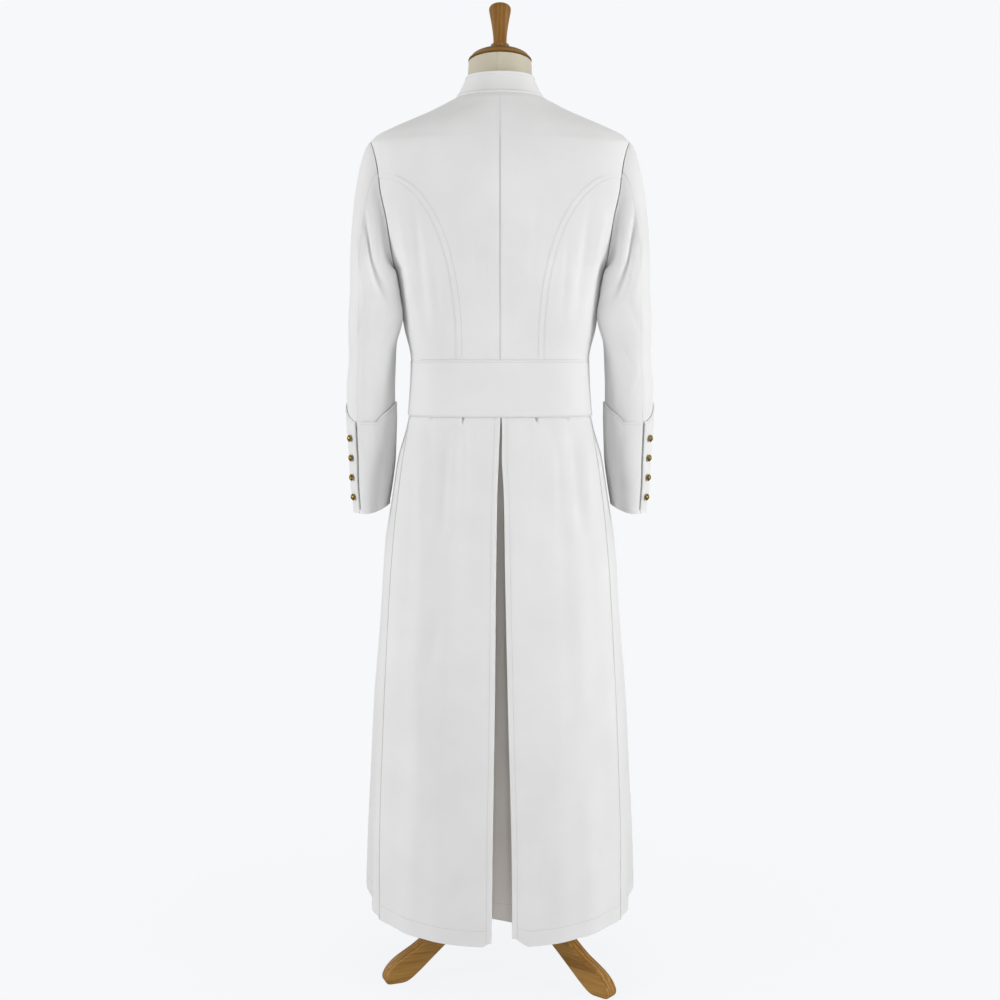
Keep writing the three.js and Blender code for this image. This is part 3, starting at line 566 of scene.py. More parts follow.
for word, sign in SIDES:
    rows = np.concatenate([LOW, MIDDLE, HIGH, SHOULDER])
    body_panel(f"back_centre_{word}_cloth", sign, lambda z: 0 * z, back_edge, rows, centre_us, centre_push)
    body_panel(f"back_side_{word}_cloth", sign, princess_angle, side_edge,
               np.concatenate([LOW, MIDDLE[MIDDLE < 1440.9]]), side_us, side_push)

# %% [markdown]
# The fronts are not seen in the photograph, so they are plain. The left one laps over the right one, and
# near the top their rows bend down to follow the neck seam.

# %% Fronts with their plain lapped closing
for word, sign in SIDES:
    low = BAND_TOP + SEAM / 2

    def front_surface(u, z0):
        """A row keeps its share of the height between band and neck seam, and takes on the seam's slope."""
        angle = mix(90 + armhole_reach(z0) + HALF_SEAM, front_end(z0) - HALF_SEAM, u)
        squash = (neck_seam(angle) - low) / (NECK_Z - low)
        bend = smooth(ARMHOLE_TOP, NECK_Z, z0)
        z = mix(z0, low + (z0 - low) * squash, bend)
        valley = seam_valley(angle, z, [(lambda h: 90 + armhole_reach(h), 1.8, 0.8)])
        return body_point(sign * angle, z, lap_lift(sign, angle, z) + valley)

    shell_piece(f"front_{word}_cloth", front_surface, spread([(0, 0.08, 6), (0.08, 1, 44)]),
                np.concatenate([LOW, MIDDLE, HIGH, SHOULDER]), white_suiting, side=-sign)

# %% [markdown]
# The collar stands 36 mm high and leans in towards the neck. It is cut as one strip with a doubled,
# stitched top edge. The band at the waist is a plain strip, set in between bodice and skirt.

# %% Collar and waist band
COLLAR_LEAN_X = 0.23
COLLAR_LEAN_Y = 0.16


def collar_surface(angle, v):
    """From the neck seam up: the ring shrinks by a sine while it rises, so the foot flares."""
    low = neck_seam(angle) + SEAM + 0.7 * smooth(90, 110, np.abs(angle))
    base = body_point(angle, low, relief=False)
    bend = np.sin(v * math.pi / 2)
    edge = 0.8 * smooth(0.86, 0.92, v) + 1.0 * smooth(0.13, 0.07, v)
    x = base[..., 0] * (1 - COLLAR_LEAN_X * mix(bend, v, 0.7))
    y = base[..., 1] * (1 - COLLAR_LEAN_Y * bend)
    out = np.stack([x, y, 0 * x], axis=-1)
    out = out / np.linalg.norm(out, axis=-1, keepdims=True)
    point = np.stack([x, y - 3 * v, low + v * COLLAR_HEIGHT], axis=-1)
    return point + out * edge[..., None]


shell_piece("collar_cloth", collar_surface, np.linspace(-178, 178, 180), np.linspace(0, 1, 40), white_suiting,
            thickness=1.8)


def band_point(angle, z, push=0.0):
    """The band lies on the body, and its two long edges turn in over the seams."""
    edge = 1.1 * np.exp(-((z - BAND_TOP) / 1.5) ** 2) + 1.5 * np.exp(-((z - BAND_BOTTOM) / 1.4) ** 2)
    return body_point(angle, z, push + edge - 0.5, relief=False)


band_rows = spread([(BAND_BOTTOM + SEAM / 2, BAND_BOTTOM + 5, 6), (BAND_BOTTOM + 5, BAND_TOP - 5, 16),
                    (BAND_TOP - 5, BAND_TOP - SEAM / 2, 6)])
band_end = 90 - HALF_SEAM
shell_piece("band_back_cloth", band_point, np.linspace(-band_end, band_end, 110), band_rows, white_suiting)
for word, sign in SIDES:
    def band_front(u, z):
        """The band from the side seam to the front's end, sunk where it laps."""
        angle = mix(90 + HALF_SEAM, front_end(z) - HALF_SEAM, u)
        return band_point(sign * angle, z, lap_lift(sign, angle, z))

    shell_piece(f"band_front_{word}_cloth", band_front, np.linspace(0, 1, 56), band_rows, white_suiting,
                side=-sign)

# %% [markdown]
# The skirt's back panels carry two pressed folds each: one turns in beside the centre back and makes the
# inverted pleat, the other turns in over the front panel at the side. The panel is drawn as one line at
# each height, with half circles where it folds, and the wall lies half a thickness to both sides of it.

# %% Skirt
PLEAT = table(("z", "open", "shift", "recess", "half"), [
    (1027, 0.8, 1.8, 4.4, 42), (1004, 1.9, 1.6, 4.8, 42.6), (953, 2.7, 0.4, 6, 44.1),
    (919, 4.5, 0.7, 7.2, 45.2), (873, 6, 1, 8.8, 46.8), (785, 7.3, 1, 12, 50), (546, 11, 2.3, 24, 56),
    (232, 17, 3.7, 37, 63), (111, 17.8, 3.2, 42, 66)])
SKIRT_RADIUS = 190.0
# how far the hem rises at the pleat, and over what width
HEM_CORNERS = {"left": (7, 16), "right": (16, 28)}
SIDE_FOLD = table(("z", "x"), [
    (1027, 161), (950, 174.5), (873, 185), (831, 189.5), (723, 198.5), (649, 203), (500, 211), (272, 220.5),
    (111, 223)])
TURN = 1.35


def folded_piece(name, line, material):
    """Wall about a middle line given at each height: both faces lie half a wall along its normal."""
    ahead = np.empty_like(line)
    ahead[:, 1:-1] = line[:, 2:] - line[:, :-2]
    ahead[:, 0] = line[:, 1] - line[:, 0]
    ahead[:, -1] = line[:, -1] - line[:, -2]
    ahead[..., 2] = 0
    ahead /= np.linalg.norm(ahead, axis=-1, keepdims=True)
    normal = np.stack([ahead[..., 1], -ahead[..., 0], 0 * ahead[..., 0]], axis=-1) * WALL / 2
    return wall_piece(name, line + normal, line - normal, material)


def turn(start, heading, angle, side, count):
    """Points of a pressed fold: a circle of radius TURN that leaves start along heading."""
    centre_x = start[..., 0] - side * TURN * np.sin(heading)
    centre_y = start[..., 1] + side * TURN * np.cos(heading)
    share = np.arange(1, count + 1) / count
    a = heading[:, None] - side * math.pi / 2 + side * np.broadcast_to(angle, heading.shape)[:, None] * share
    x = centre_x[:, None] + TURN * np.cos(a)
    y = centre_y[:, None] + TURN * np.sin(a)
    return np.stack([x, y], axis=-1)


def towards(start, heading, run, count):
    """Points on a straight stretch that leaves start along heading."""
    share = np.arange(1, count + 1) / count
    way = np.stack([np.cos(heading), np.sin(heading)], axis=-1)
    step = way * np.broadcast_to(run, heading.shape)[:, None]
    return start[:, None, :] + step[:, None, :] * share[None, :, None]


SKIRT_ROWS = spread([(BAND_BOTTOM - SEAM / 2, 1010, 10), (1010, 960, 16), (960, 780, 26), (780, 160, 44),
                     (160, HEM_Z, 14)])


def with_height(flat, z, rise=0.0):
    """Adds the heights to plan points."""
    return np.concatenate([flat, np.broadcast_to(z[:, None], flat.shape[:2])[..., None] + np.asarray(rise)
                           * np.ones(flat.shape[:2])[..., None]], axis=-1)


def skirt_back_line(z, sign, corner):
    """The right back panel from the pleat's inner fold, round the visible edge, over the face and round
    the side fold. The left one is its mirror image, so sign turns the pleat's shift round."""
    opening = column(PLEAT, "open", z) + sign * column(PLEAT, "shift", z)
    first = angle_at(opening + TURN + WALL / 2, z)
    last = angle_at(column(SIDE_FOLD, "x", z), z)
    share = spread([(0, 0.12, 14), (0.12, 0.9, 84), (0.9, 1, 22)])
    angle = mix(first[:, None], last[:, None], share)
    pressed = 1.3 * np.exp(-(((last[:, None] - angle) * DEG * SKIRT_RADIUS - 3.2) / 1.3) ** 2)
    sunk = 2.0 * np.exp(-((BAND_BOTTOM - z[:, None]) / 2.4) ** 2)
    face = body_point(sign * angle, z[:, None], WALL / 2 + pressed + sunk)[..., :2] * np.array([sign, 1])
    start = face[:, 0]
    rise = column(PLEAT, "recess", z)
    reach = np.arctan2(rise - 2 * TURN, column(PLEAT, "half", z) - start[:, 0])
    back = turn(start, np.full_like(z, math.pi), math.pi - reach, -1, 8)
    tip = back[:, -1]
    goal = np.stack([column(PLEAT, "half", z), start[:, 1] + rise], axis=-1)
    returns = towards(tip, reach, np.linalg.norm(goal - tip, axis=-1), 8)
    heading = np.arctan2(face[:, -1, 1] - face[:, -2, 1], face[:, -1, 0] - face[:, -2, 0])
    roll = turn(face[:, -1], heading, math.pi, 1, 8)
    tuck = towards(roll[:, -1], heading + math.pi, 20.0, 4)
    flat = np.concatenate([returns[:, ::-1], back[:, ::-1], face, roll, tuck], axis=1)
    edge = (opening + TURN)[:, None]
    inside = np.arange(flat.shape[1])[None, :] < returns.shape[1] + back.shape[1]
    share = np.where(inside, 1, smooth(edge + corner[1], edge, flat[..., 0]))
    rise = corner[0] * smooth(HEM_Z + 60, HEM_Z, z)[:, None] * share
    return with_height(flat, z, rise[..., None])


def skirt_front_line(z, sign):
    """The front panel starts under the back panel's side fold and rises to the face beyond it."""
    edge = angle_at(column(SIDE_FOLD, "x", z), z)[:, None]
    angle = mix(edge - 4, front_end(z)[:, None], spread([(0, 0.3, 24), (0.3, 1, 56)]))
    sunk = 2 * TURN + 1.5 * WALL + SEAM + 0.4
    deep = WALL / 2 + sunk * (1 - 0.72 * smooth(edge + 1, edge + 12, angle))
    deep = deep + 2.0 * np.exp(-((BAND_BOTTOM - z[:, None]) / 2.4) ** 2)
    return body_point(sign * angle, z[:, None], deep + lap_lift(sign, angle, z[:, None]))


BACK_LINES = {}
FRONT_LINES = {}
for word, sign in SIDES:
    BACK_LINES[word] = skirt_back_line(SKIRT_ROWS, sign, HEM_CORNERS[word]) * np.array([sign, 1, 1])
    FRONT_LINES[word] = skirt_front_line(SKIRT_ROWS, sign)
    folded_piece(f"skirt_back_{word}_cloth", BACK_LINES[word][:, ::sign], white_suiting)
    folded_piece(f"skirt_front_{word}_cloth", FRONT_LINES[word][:, ::sign], white_suiting)

UNDERLAY_HEM = 145.0
UNDERLAY_SLOPE = 0.2
under_z = np.concatenate([SKIRT_ROWS[SKIRT_ROWS > UNDERLAY_HEM + 4], [UNDERLAY_HEM]])
under_half = (column(PLEAT, "half", under_z) - 4)[:, None]
fold_angle = angle_at(column(PLEAT, "open", under_z) + TURN + WALL / 2, under_z)
under_y = (body_point(fold_angle, under_z, WALL / 2)[:, 1] + column(PLEAT, "recess", under_z) + WALL + SEAM
           + 0.6)[:, None]
under_x = under_half * np.linspace(-1, 1, 41)
under_slope = -UNDERLAY_SLOPE * (under_x + 12) * smooth(UNDERLAY_HEM + 60, UNDERLAY_HEM, under_z)[:, None]
under_line = with_height(np.stack([under_x, under_y + 0 * under_x], axis=-1), under_z, under_slope[..., None])
folded_piece("pleat_underlay_cloth", under_line, pleat_suiting_painted_shade)

# %% [markdown]
# A sleeve is a tube of ellipses below the arm. Above it, each point of the armhole is joined to the first
# ellipse by a curve that leaves the shoulder outwards and arrives straight down: that is the sleeve's cap.

# %% Sleeves
SLEEVE = table(("z", "x", "y", "across", "deep"), [
    (1250, 226.5, 0, 41.5, 72), (1185, 229, 2, 43.5, 69), (1126, 230, 5, 42, 66),
    (1072, 233.5, 8.5, 43.5, 62), (1040, 233.5, 10, 43, 60), (950, 233, 15, 39, 54),
    (905, 234.5, 17, 36, 52), (857, 235.5, 19, 30, 49.5)])
FALLS = [
    # turn angle, width round the sleeve, height, reach above and below it, size
    (-138, 27, 1203, 62, 50, 23), (-140, 24, 1279, 17, 28, 9)]
WRIST_RISE = 14.0
SLIT_ANGLE = 60.0
SLEEVE_TOP = 1250.0
SLEEVE_END = 857.0
SLEEVE_CREASES = [
    # turn angle and height of both ends, width, depth
    (-62, 1390, -121, 1216, 8.5, 9.5), (-84, 1400, -126, 1275, 11, -2.6), (-38, 1370, -84, 1222, 8, -2.8),
    (-100, 1240, -60, 1165, 7, 2.5), (-130, 1180, -84, 1110, 7, 2.5), (-70, 1120, -100, 1062, 7, -2.0),
    (60, 1390, 110, 1270, 6, 4.0), (100, 1230, 60, 1160, 7, 2.5), (150, 1210, 95, 1130, 8, 3.0),
    (20, 1330, 8, 1180, 8, 1.5), (-15, 1240, -30, 1090, 8, 1.5)]


def armhole_point(turn_angle):
    """Point of the armhole's edge on the body at an angle round the arm, 0 outwards and 90 forwards."""
    middle = (ARMHOLE_TOP + ARMHOLE_BOTTOM) / 2
    radius = (ARMHOLE_TOP - ARMHOLE_BOTTOM) / 2 - 1
    z = middle + radius * np.cos(turn_angle * DEG)
    reach = np.clip(armhole_reach(z) - 0.35, 0, None)
    return body_point(90 + np.sign(np.sin(turn_angle * DEG)) * reach, z, relief=False)


def sleeve_ring(turn_angle, z, extra=0.0):
    """Ellipse of the sleeve at a height, with extra added to both half sizes."""
    across = column(SLEEVE, "across", z) + extra
    deep = column(SLEEVE, "deep", z) + extra
    x = column(SLEEVE, "x", z) + across * np.cos(turn_angle * DEG)
    y = column(SLEEVE, "y", z) + deep * np.sin(turn_angle * DEG)
    return np.stack([x, y, z + 0 * x], axis=-1)


def wrapped(turn_angle):
    """The same angle as a value from -180 to 180."""
    return (turn_angle + 180) % 360 - 180


def fall(turn_angle, z):
    """Slack behind the arm falls towards the body: bell curves round the sleeve and along it."""
    total = 0
    for place, wide, height, above, below, size in FALLS:
        up = (z - height) / np.where(z > height, above, below)
        total = total + size * np.exp(-(wrapped(turn_angle - place) / wide) ** 2 - up**2)
    return total


def wrist_rise(turn_angle):
    """How much the wrist ends higher towards the body."""
    return WRIST_RISE * smooth(80, 180, np.abs(wrapped(turn_angle)))


def sleeve_smooth(turn_angle, v):
    """Cubic from armhole to ring for v below 1, with start and end slopes, and rings from 1 to 2."""
    start = armhole_point(turn_angle)
    end = sleeve_ring(turn_angle, SLEEVE_TOP + 0 * turn_angle)
    top = ((1 + np.cos(turn_angle * DEG)) / 2)[..., None]
    drop = start[..., 2:] - end[..., 2:]
    leave = np.concatenate([mix(26, 76, top), 0 * top, -mix(4, 42, top)], axis=-1)
    arrive = np.concatenate([mix(-10, -6, top), 0 * top, -drop * 1.1], axis=-1)
    t = np.clip(v, 0, 1)[..., None]
    cap = ((2 * t**3 - 3 * t**2 + 1) * start + (t**3 - 2 * t**2 + t) * leave
           + (3 * t**2 - 2 * t**3) * end + (t**3 - t**2) * arrive)
    tube = sleeve_ring(turn_angle, mix(SLEEVE_TOP, SLEEVE_END + wrist_rise(turn_angle), np.clip(v - 1, 0, 1)))
    point = np.where((v < 1)[..., None], cap, tube)
    point[..., 0] -= fall(turn_angle, point[..., 2]) * smooth(0, 0.6, v)
    return point


def sleeve_surface(turn_angle, v):
    """The smooth sleeve with its creases pushed towards the arm's own line."""
    point = sleeve_smooth(turn_angle, v)
    depth = troughs(SLEEVE_CREASES, wrapped(turn_angle), point[..., 2]) * smooth(0.02, 0.2, v)
    behind_slit = np.exp(-(wrapped(turn_angle + SLIT_ANGLE) / 6) ** 2)
    depth = depth + 8.5 * behind_slit * smooth(1014, 1000, point[..., 2])
    out = np.stack([np.cos(turn_angle * DEG), np.sin(turn_angle * DEG), 0 * turn_angle], axis=-1)
    return point - out * depth[..., None]


UPPER_FROM = -62.0
UPPER_TO = 76.0
sleeve_rows = spread([(0, 0.2, 14), (0.2, 1, 46), (1, 2, 50)])
SLEEVE_PARTS = (("upper", UPPER_FROM, UPPER_TO, 60), ("under", UPPER_TO, UPPER_FROM + 360, 80))
for word, sign in SIDES:
    for part, start, stop, count in SLEEVE_PARTS:
        shell_piece(f"sleeve_{part}_{word}_cloth", mirrored(sleeve_surface, sign),
                    np.linspace(start + 0.2, stop - 0.2, count), sleeve_rows, white_suiting, side=sign)

# %% [markdown]
# The cuffs turn back over the sleeves and flare a little. Their top edge is lowest at the slit, rises
# steeply on the outer side and more slowly on the inner one.

# %% Cuffs
CUFF_BOTTOM = 851.0
CUFF_LOW = 1017.0
CUFF_RISE = 34.0
CUFF_FLARE = 2.0
SLIT_GAP = 5.2


def cuff_top(turn_angle):
    """Height of the cuff's top edge: a smooth rise outwards from the slit, and on the inner side a rise in
    even steps of the way across, which looks straight from behind."""
    away = (turn_angle + SLIT_ANGLE) % 360
    outward = smooth(0, 80, away)
    across = np.clip((-0.33 - np.cos(turn_angle * DEG)) / 0.67, 0, 1)
    inward = np.where(away < 240, 1, across + 0.04 * np.sin(2 * math.pi * across))
    return CUFF_LOW + CUFF_RISE * np.where(away < 180, outward, inward)


def cuff_surface(turn_angle, v):
    """Rings outside the sleeve, between the bottom and the shaped top edge."""
    z = mix(CUFF_BOTTOM + wrist_rise(turn_angle), cuff_top(turn_angle), v)
    clear = WALL + SEAM + 0.3
    ridge = 1.6 * np.exp(-(wrapped(turn_angle + 163) / 10) ** 2)
    hollow = 1.7 * np.exp(-(wrapped(turn_angle + 139) / 11) ** 2)
    outer_side = 0.8 * np.exp(-(wrapped(turn_angle + 15) / 45) ** 2)
    flare = CUFF_FLARE * (1 - outer_side) * (1 - 0.5 * smooth(0.85, 1, v))
    fold = (ridge - hollow) * smooth(1, 0.8, v)
    edge = 0.4 * smooth(0.95, 0.985, v) * (1 - outer_side) + 0.5 * smooth(0.03, 0.01, v)
    return sleeve_ring(turn_angle, z, clear + (flare + fold) * smooth(0, 0.5, v) + edge)


ARM_RADIUS = 50.0
slit_half = SLIT_GAP / 2 / ARM_RADIUS / DEG
cuff_us = np.linspace(-SLIT_ANGLE + slit_half, 360 - SLIT_ANGLE - slit_half, 150)
for word, sign in SIDES:
    shell_piece(f"cuff_{word}_cloth", mirrored(cuff_surface, sign), cuff_us, np.linspace(0, 1, 60),
                white_suiting, side=-sign)

# %% [markdown]
# Every cloth piece stands for the solid of the same name, which is hidden, and the size it was cut to is
# printed.

whole_cut = 0.0
for name, piece in list(PIECES.items()):
    node = name.removesuffix("_cloth")
    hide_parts(node)
    width, length, area = piece["cut"]
    del piece["cut"]
    whole_cut += area
    print(f"{node}: {width:.3f} by {length:.3f} m, {area:.3f} square metres")
print(f"whole cut: {whole_cut:.2f} square metres")

# %% [markdown]
# The stitches are real little pieces of thread, because a painted line would vanish at an angle. One
# stitch is a short spindle of twelve points. It is copied along a path that lies on the cloth, and each
# copy is turned to the path's direction and to the cloth's normal, all at once as arrays.

# %% Thread and stitch paths
thread, thread_nodes, thread_links, thread_shader = node_material("white_thread_painted_shade")
twist = thread_nodes.new("ShaderNodeTexNoise")
twist.inputs["Scale"].default_value = 900.0
twist_place = thread_nodes.new("ShaderNodeTexCoord")
thread_links.new(twist_place.outputs["Object"], twist.inputs["Vector"])
# Painted shade: the white thread is coloured mid grey, from 0.42 to 0.60, to stand in for the shade in its
# stitch dimples; the noise adds the twist.
twist_and_shade_ramp = thread_nodes.new("ShaderNodeValToRGB")
twist_and_shade_ramp.color_ramp.elements[0].color = (0.42, 0.42, 0.41, 1)
twist_and_shade_ramp.color_ramp.elements[1].color = (0.60, 0.60, 0.58, 1)
thread_links.new(twist.outputs["Fac"], twist_and_shade_ramp.inputs["Fac"])
thread_links.new(twist_and_shade_ramp.outputs["Color"], thread_shader.inputs["Base Color"])
thread_shader.inputs["Roughness"].default_value = 0.55

STITCH_PITCH = 3.4
STITCH_LENGTH = 2.6


def on_surface(surface, us, vs, side):
    """Points of a path on a surface and the normals that point out of the cloth."""
    us, vs = np.broadcast_arrays(np.asarray(us, float), np.asarray(vs, float))
    normal = slopes_cross(surface, us, vs)
    return surface(us, vs), -side * normal / np.linalg.norm(normal, axis=-1, keepdims=True)


def stitches(name, paths, pitch=STITCH_PITCH, length=STITCH_LENGTH, thick=0.42):
    """One mesh of many spindles: each path is cut at even distances, and a spindle's twelve points are
    centre plus (along, aside, up) times the local directions."""
    ring = np.array([[-0.5, 0.25], [0.0, 1.0], [0.5, 0.25]])
    turns = np.arange(4) * math.pi / 2 + math.pi / 4
    template = np.array([[a * length, r * thick * math.cos(t), r * thick * 0.8 * math.sin(t)]
                         for a, r in ring for t in turns])
    quads = [[k * 4 + i, k * 4 + (i + 1) % 4, k * 4 + 4 + (i + 1) % 4, k * 4 + 4 + i]
             for k in (0, 1) for i in range(4)]
    quads += [[3, 2, 1, 0], [8, 9, 10, 11]]
    every = []
    for points, normals in paths:
        run = np.concatenate([[0], np.cumsum(np.linalg.norm(np.diff(points, axis=0), axis=1))])
        at = np.arange(pitch / 2, run[-1], pitch)
        centre = np.stack([np.interp(at, run, points[:, k]) for k in range(3)], axis=-1)
        ahead = np.stack([np.interp(at + 1, run, points[:, k]) - np.interp(at - 1, run, points[:, k])
                          for k in range(3)], axis=-1)
        ahead /= np.maximum(np.linalg.norm(ahead, axis=1, keepdims=True), 1e-9)
        up = np.stack([np.interp(at, run, normals[:, k]) for k in range(3)], axis=-1)
        up -= ahead * (up * ahead).sum(1, keepdims=True)
        up /= np.maximum(np.linalg.norm(up, axis=1, keepdims=True), 1e-9)
        aside = np.cross(up, ahead)
        every.append(centre[:, None] + up[:, None] * 0.12 + template[None, :, :1] * ahead[:, None]
                     + template[None, :, 1:2] * aside[:, None] + template[None, :, 2:] * up[:, None])
    points = np.concatenate(every)
    faces = (np.array(quads)[None] + np.arange(len(points))[:, None, None] * 12).reshape(-1, 4)
    piece = new_piece(name, points, faces, thread, sharp=80)
    print(name, len(points), "stitches")
    return piece


# %% [markdown]
# Each seam gets the stitching that a tailor would give it: a row 9 mm beside the princess seams, rows
# along both edges of the band and of the collar, a row on each pleat fold, and a row above every hem.

# %% Sew the bodice, band and collar
def body_path(sign, angle, z, push):
    """A path on the body surface at given angles and heights."""
    return on_surface(lambda a, h: body_point(sign * a, h, push(a, h)), angle, z, -sign)


paths = []
seam_z = BAND_TOP + 4 + (PRINCESS_TOP - BAND_TOP - 9) * np.sin(np.linspace(0, math.pi / 2, 300))
for word, sign in SIDES:
    edge = body_point(princess_angle(seam_z), seam_z, relief=False)
    tangent = np.gradient(edge, axis=0)
    tangent /= np.linalg.norm(tangent, axis=1, keepdims=True)
    x, z = edge[:, 0] - TOPSTITCH * np.abs(tangent[:, 2]), seam_z + TOPSTITCH * np.abs(tangent[:, 0])
    paths.append(body_path(sign, angle_at(x, z), z, centre_push))
closing_z = np.linspace(BAND_TOP + 4, NECK_Z - NECK_DROP - 6, 400)
paths.append(body_path(-1, 180 + angle_at(FRONT_LAP - 6, closing_z), closing_z, lambda a, h: 0 * a))
stitches("princess_stitches", paths)

paths = []
angles = np.linspace(-89, 89, 700)
for height in (BAND_TOP - 4.5, BAND_BOTTOM + 2.6):
    paths.append(on_surface(band_point, angles, height, -1))
    for word, sign in SIDES:
        round_front = np.linspace(91, 180 + angle_at(FRONT_LAP - 4, height), 350)
        paths.append(on_surface(lambda a, h: band_point(sign * a, h, lap_lift(sign, a, h)), round_front,
                                height, -sign))
stitches("band_stitches", paths)
angles = np.linspace(-176, 176, 900)
stitches("collar_stitches", [on_surface(collar_surface, angles, v, -1) for v in (0.1, 0.88)])

# %% [markdown]
# The skirt's rows follow columns and rows of the same lines that the panels were made from. A row of longer,
# thicker grey stitches holds the pressed side fold, and its grey is painted shadow: the thin shadow line
# between the fold and the front panel.

# %% Sew the skirt
def line_path(points):
    """A path that lies on the skirt, with level normals that point away from the body's axis."""
    ahead = np.gradient(points, axis=0)
    normal = points * np.array([1, 1, 0]) - np.array([0, 60, 0])
    normal -= ahead * (normal * ahead).sum(1, keepdims=True) / (ahead**2).sum(1, keepdims=True)
    return points + normal / np.linalg.norm(normal, axis=1, keepdims=True) * WALL / 2, normal


FIRST_FACE = 16          # columns before the visible face: the return and the pressed fold
HEM_ROW = -9             # a row 28 mm above the hem
UNDERLAY_ROW = -6
SIDE_COLUMN = -15        # beside the side fold, before its half circle and the tucked end
paths = []
side_paths = []
for word, sign in SIDES:
    back_line, front_line = BACK_LINES[word], FRONT_LINES[word]
    paths.append(line_path(back_line[:-1, FIRST_FACE + 3]))
    paths.append(line_path(back_line[HEM_ROW, FIRST_FACE + 2:-14]))
    paths.append(line_path(front_line[HEM_ROW, 8:-2]))
    if sign < 0:
        paths.append(line_path(front_line[:-1, -5]))
    side_paths.append(line_path(back_line[1:-1, SIDE_COLUMN]))
paths.append(line_path(under_line[UNDERLAY_ROW]))
stitches("skirt_stitches", paths)
# Painted shadow: these thicker grey stitches stand in for the shadow line beside the side fold.
stitches("side_fold_stitches", side_paths, length=3.2, thick=0.85)

# %% [markdown]
# Each cuff has a row just below its top edge and one down the buttoned side of the slit.

# %% Sew the cuffs
paths = []
for word, sign in SIDES:
    cuff_side = mirrored(cuff_surface, sign)
    inside = np.linspace(-SLIT_ANGLE + 6, 354 - SLIT_ANGLE, 400)
    paths.append(on_surface(cuff_side, inside, 0.97, -sign))
    down = np.linspace(0.04, 0.97, 200)
    paths.append(on_surface(cuff_side, 0 * down - SLIT_ANGLE + 5, down, -sign))
stitches("cuff_stitches", paths)

# %% [markdown]
# The buttons are domed and gilt, and worn to a brownish brass in the hollows. A profile turned about its
# axis gives a flat back, a short shank, a rolled rim and the dome.

# %% Gilt buttons
gilt, gilt_nodes, gilt_links, gilt_shader = node_material("gilt_brass")
tarnish = gilt_nodes.new("ShaderNodeTexNoise")
tarnish.inputs["Scale"].default_value = 420.0
tarnish.inputs["Detail"].default_value = 5.0
tarnish_place = gilt_nodes.new("ShaderNodeTexCoord")
gilt_links.new(tarnish_place.outputs["Object"], tarnish.inputs["Vector"])
tarnish_ramp = gilt_nodes.new("ShaderNodeValToRGB")
tarnish_ramp.color_ramp.elements[0].position = 0.38
tarnish_ramp.color_ramp.elements[0].color = (0.10, 0.06, 0.012, 1)
tarnish_ramp.color_ramp.elements[1].position = 0.62
tarnish_ramp.color_ramp.elements[1].color = (0.46, 0.31, 0.075, 1)
gilt_links.new(tarnish.outputs["Fac"], tarnish_ramp.inputs["Fac"])
gilt_links.new(tarnish_ramp.outputs["Color"], gilt_shader.inputs["Base Color"])
gilt_shader.inputs["Metallic"].default_value = 1.0
gilt_shader.inputs["Roughness"].default_value = 0.32
tarnish_bump = gilt_nodes.new("ShaderNodeBump")
tarnish_bump.inputs["Strength"].default_value = 0.3
tarnish_bump.inputs["Distance"].default_value = 0.0003
gilt_links.new(tarnish.outputs["Fac"], tarnish_bump.inputs["Height"])
gilt_links.new(tarnish_bump.outputs["Normal"], gilt_shader.inputs["Normal"])


def softened(profile, rounds=2):
    """Corner cutting: each round replaces a corner by the points a quarter and three quarters along."""
    points = np.asarray(profile, float)
    for _ in range(rounds):
        near, far = 0.75 * points[:-1] + 0.25 * points[1:], 0.25 * points[:-1] + 0.75 * points[1:]
        middle = np.stack([near, far], axis=1).reshape(-1, 2)
        points = np.concatenate([points[:1], middle[1:-1], points[-1:]])
    return points


def lathe(profile, sides):
    """Grid of a profile (radius, height) turned about the vertical: x is radius times cosine, y sine."""
    turns = np.arange(sides) * 2 * math.pi / sides
    radius, height = profile[:, :1], profile[:, 1:]
    return np.stack([radius * np.cos(turns), radius * np.sin(turns), height + 0 * turns], axis=-1)


def lathe_faces(rows, sides):
    """Bands between the rings, and one many-sided face over each small end ring."""
    faces = [list(f) for f in grid_faces(rows, sides, True)]
    faces.append(list(range(sides))[::-1])
    faces.append([(rows - 1) * sides + i for i in range(sides)])
    return faces


BUTTON_ANGLE = 40.0
BUTTON_TOP = 987.0
BUTTON_STEP = 35.4
BUTTON_COUNT = 4
BUTTON_SIDES = 24
button_profile = np.array([(0.3, 0.5), (2.0, 0.5), (2.0, 2.6), (5.6, 2.8), (6.2, 3.0), (6.5, 3.5),
                           (6.4, 4.0), (6.0, 4.2), (5.5, 4.3), (5.2, 5.0), (4.4, 5.9), (3.2, 6.6), (1.8, 7.0),
                           (0.3, 7.15)])
for word, sign in SIDES:
    cuff_side = mirrored(cuff_surface, sign)
    for count in range(BUTTON_COUNT):
        height = BUTTON_TOP - count * BUTTON_STEP
        share = (height - CUFF_BOTTOM) / (cuff_top(-BUTTON_ANGLE) - CUFF_BOTTOM)
        seat, up = on_surface(cuff_side, np.array([-BUTTON_ANGLE]), np.array([share]), -sign)
        up = up[0]
        first = np.cross(up, [0, 0, 1])
        first /= np.linalg.norm(first)
        second = np.cross(up, first)
        grid = lathe(button_profile, BUTTON_SIDES)
        points = seat[0] + grid[..., :1] * first + grid[..., 1:2] * second + grid[..., 2:] * up
        name = f"cuff_button_{word}_{count + 1}"
        faces = lathe_faces(len(button_profile), BUTTON_SIDES)
        button = new_piece(name + "_gilt", points, faces, gilt, sharp=50)
        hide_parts(name)

# %% [markdown]
# The dress form is covered in plain linen, seamed down the back of the neck. It has the cloth's own
# shape, a little smaller, and it is rounded off where an arm would start, so the sleeves hang empty.

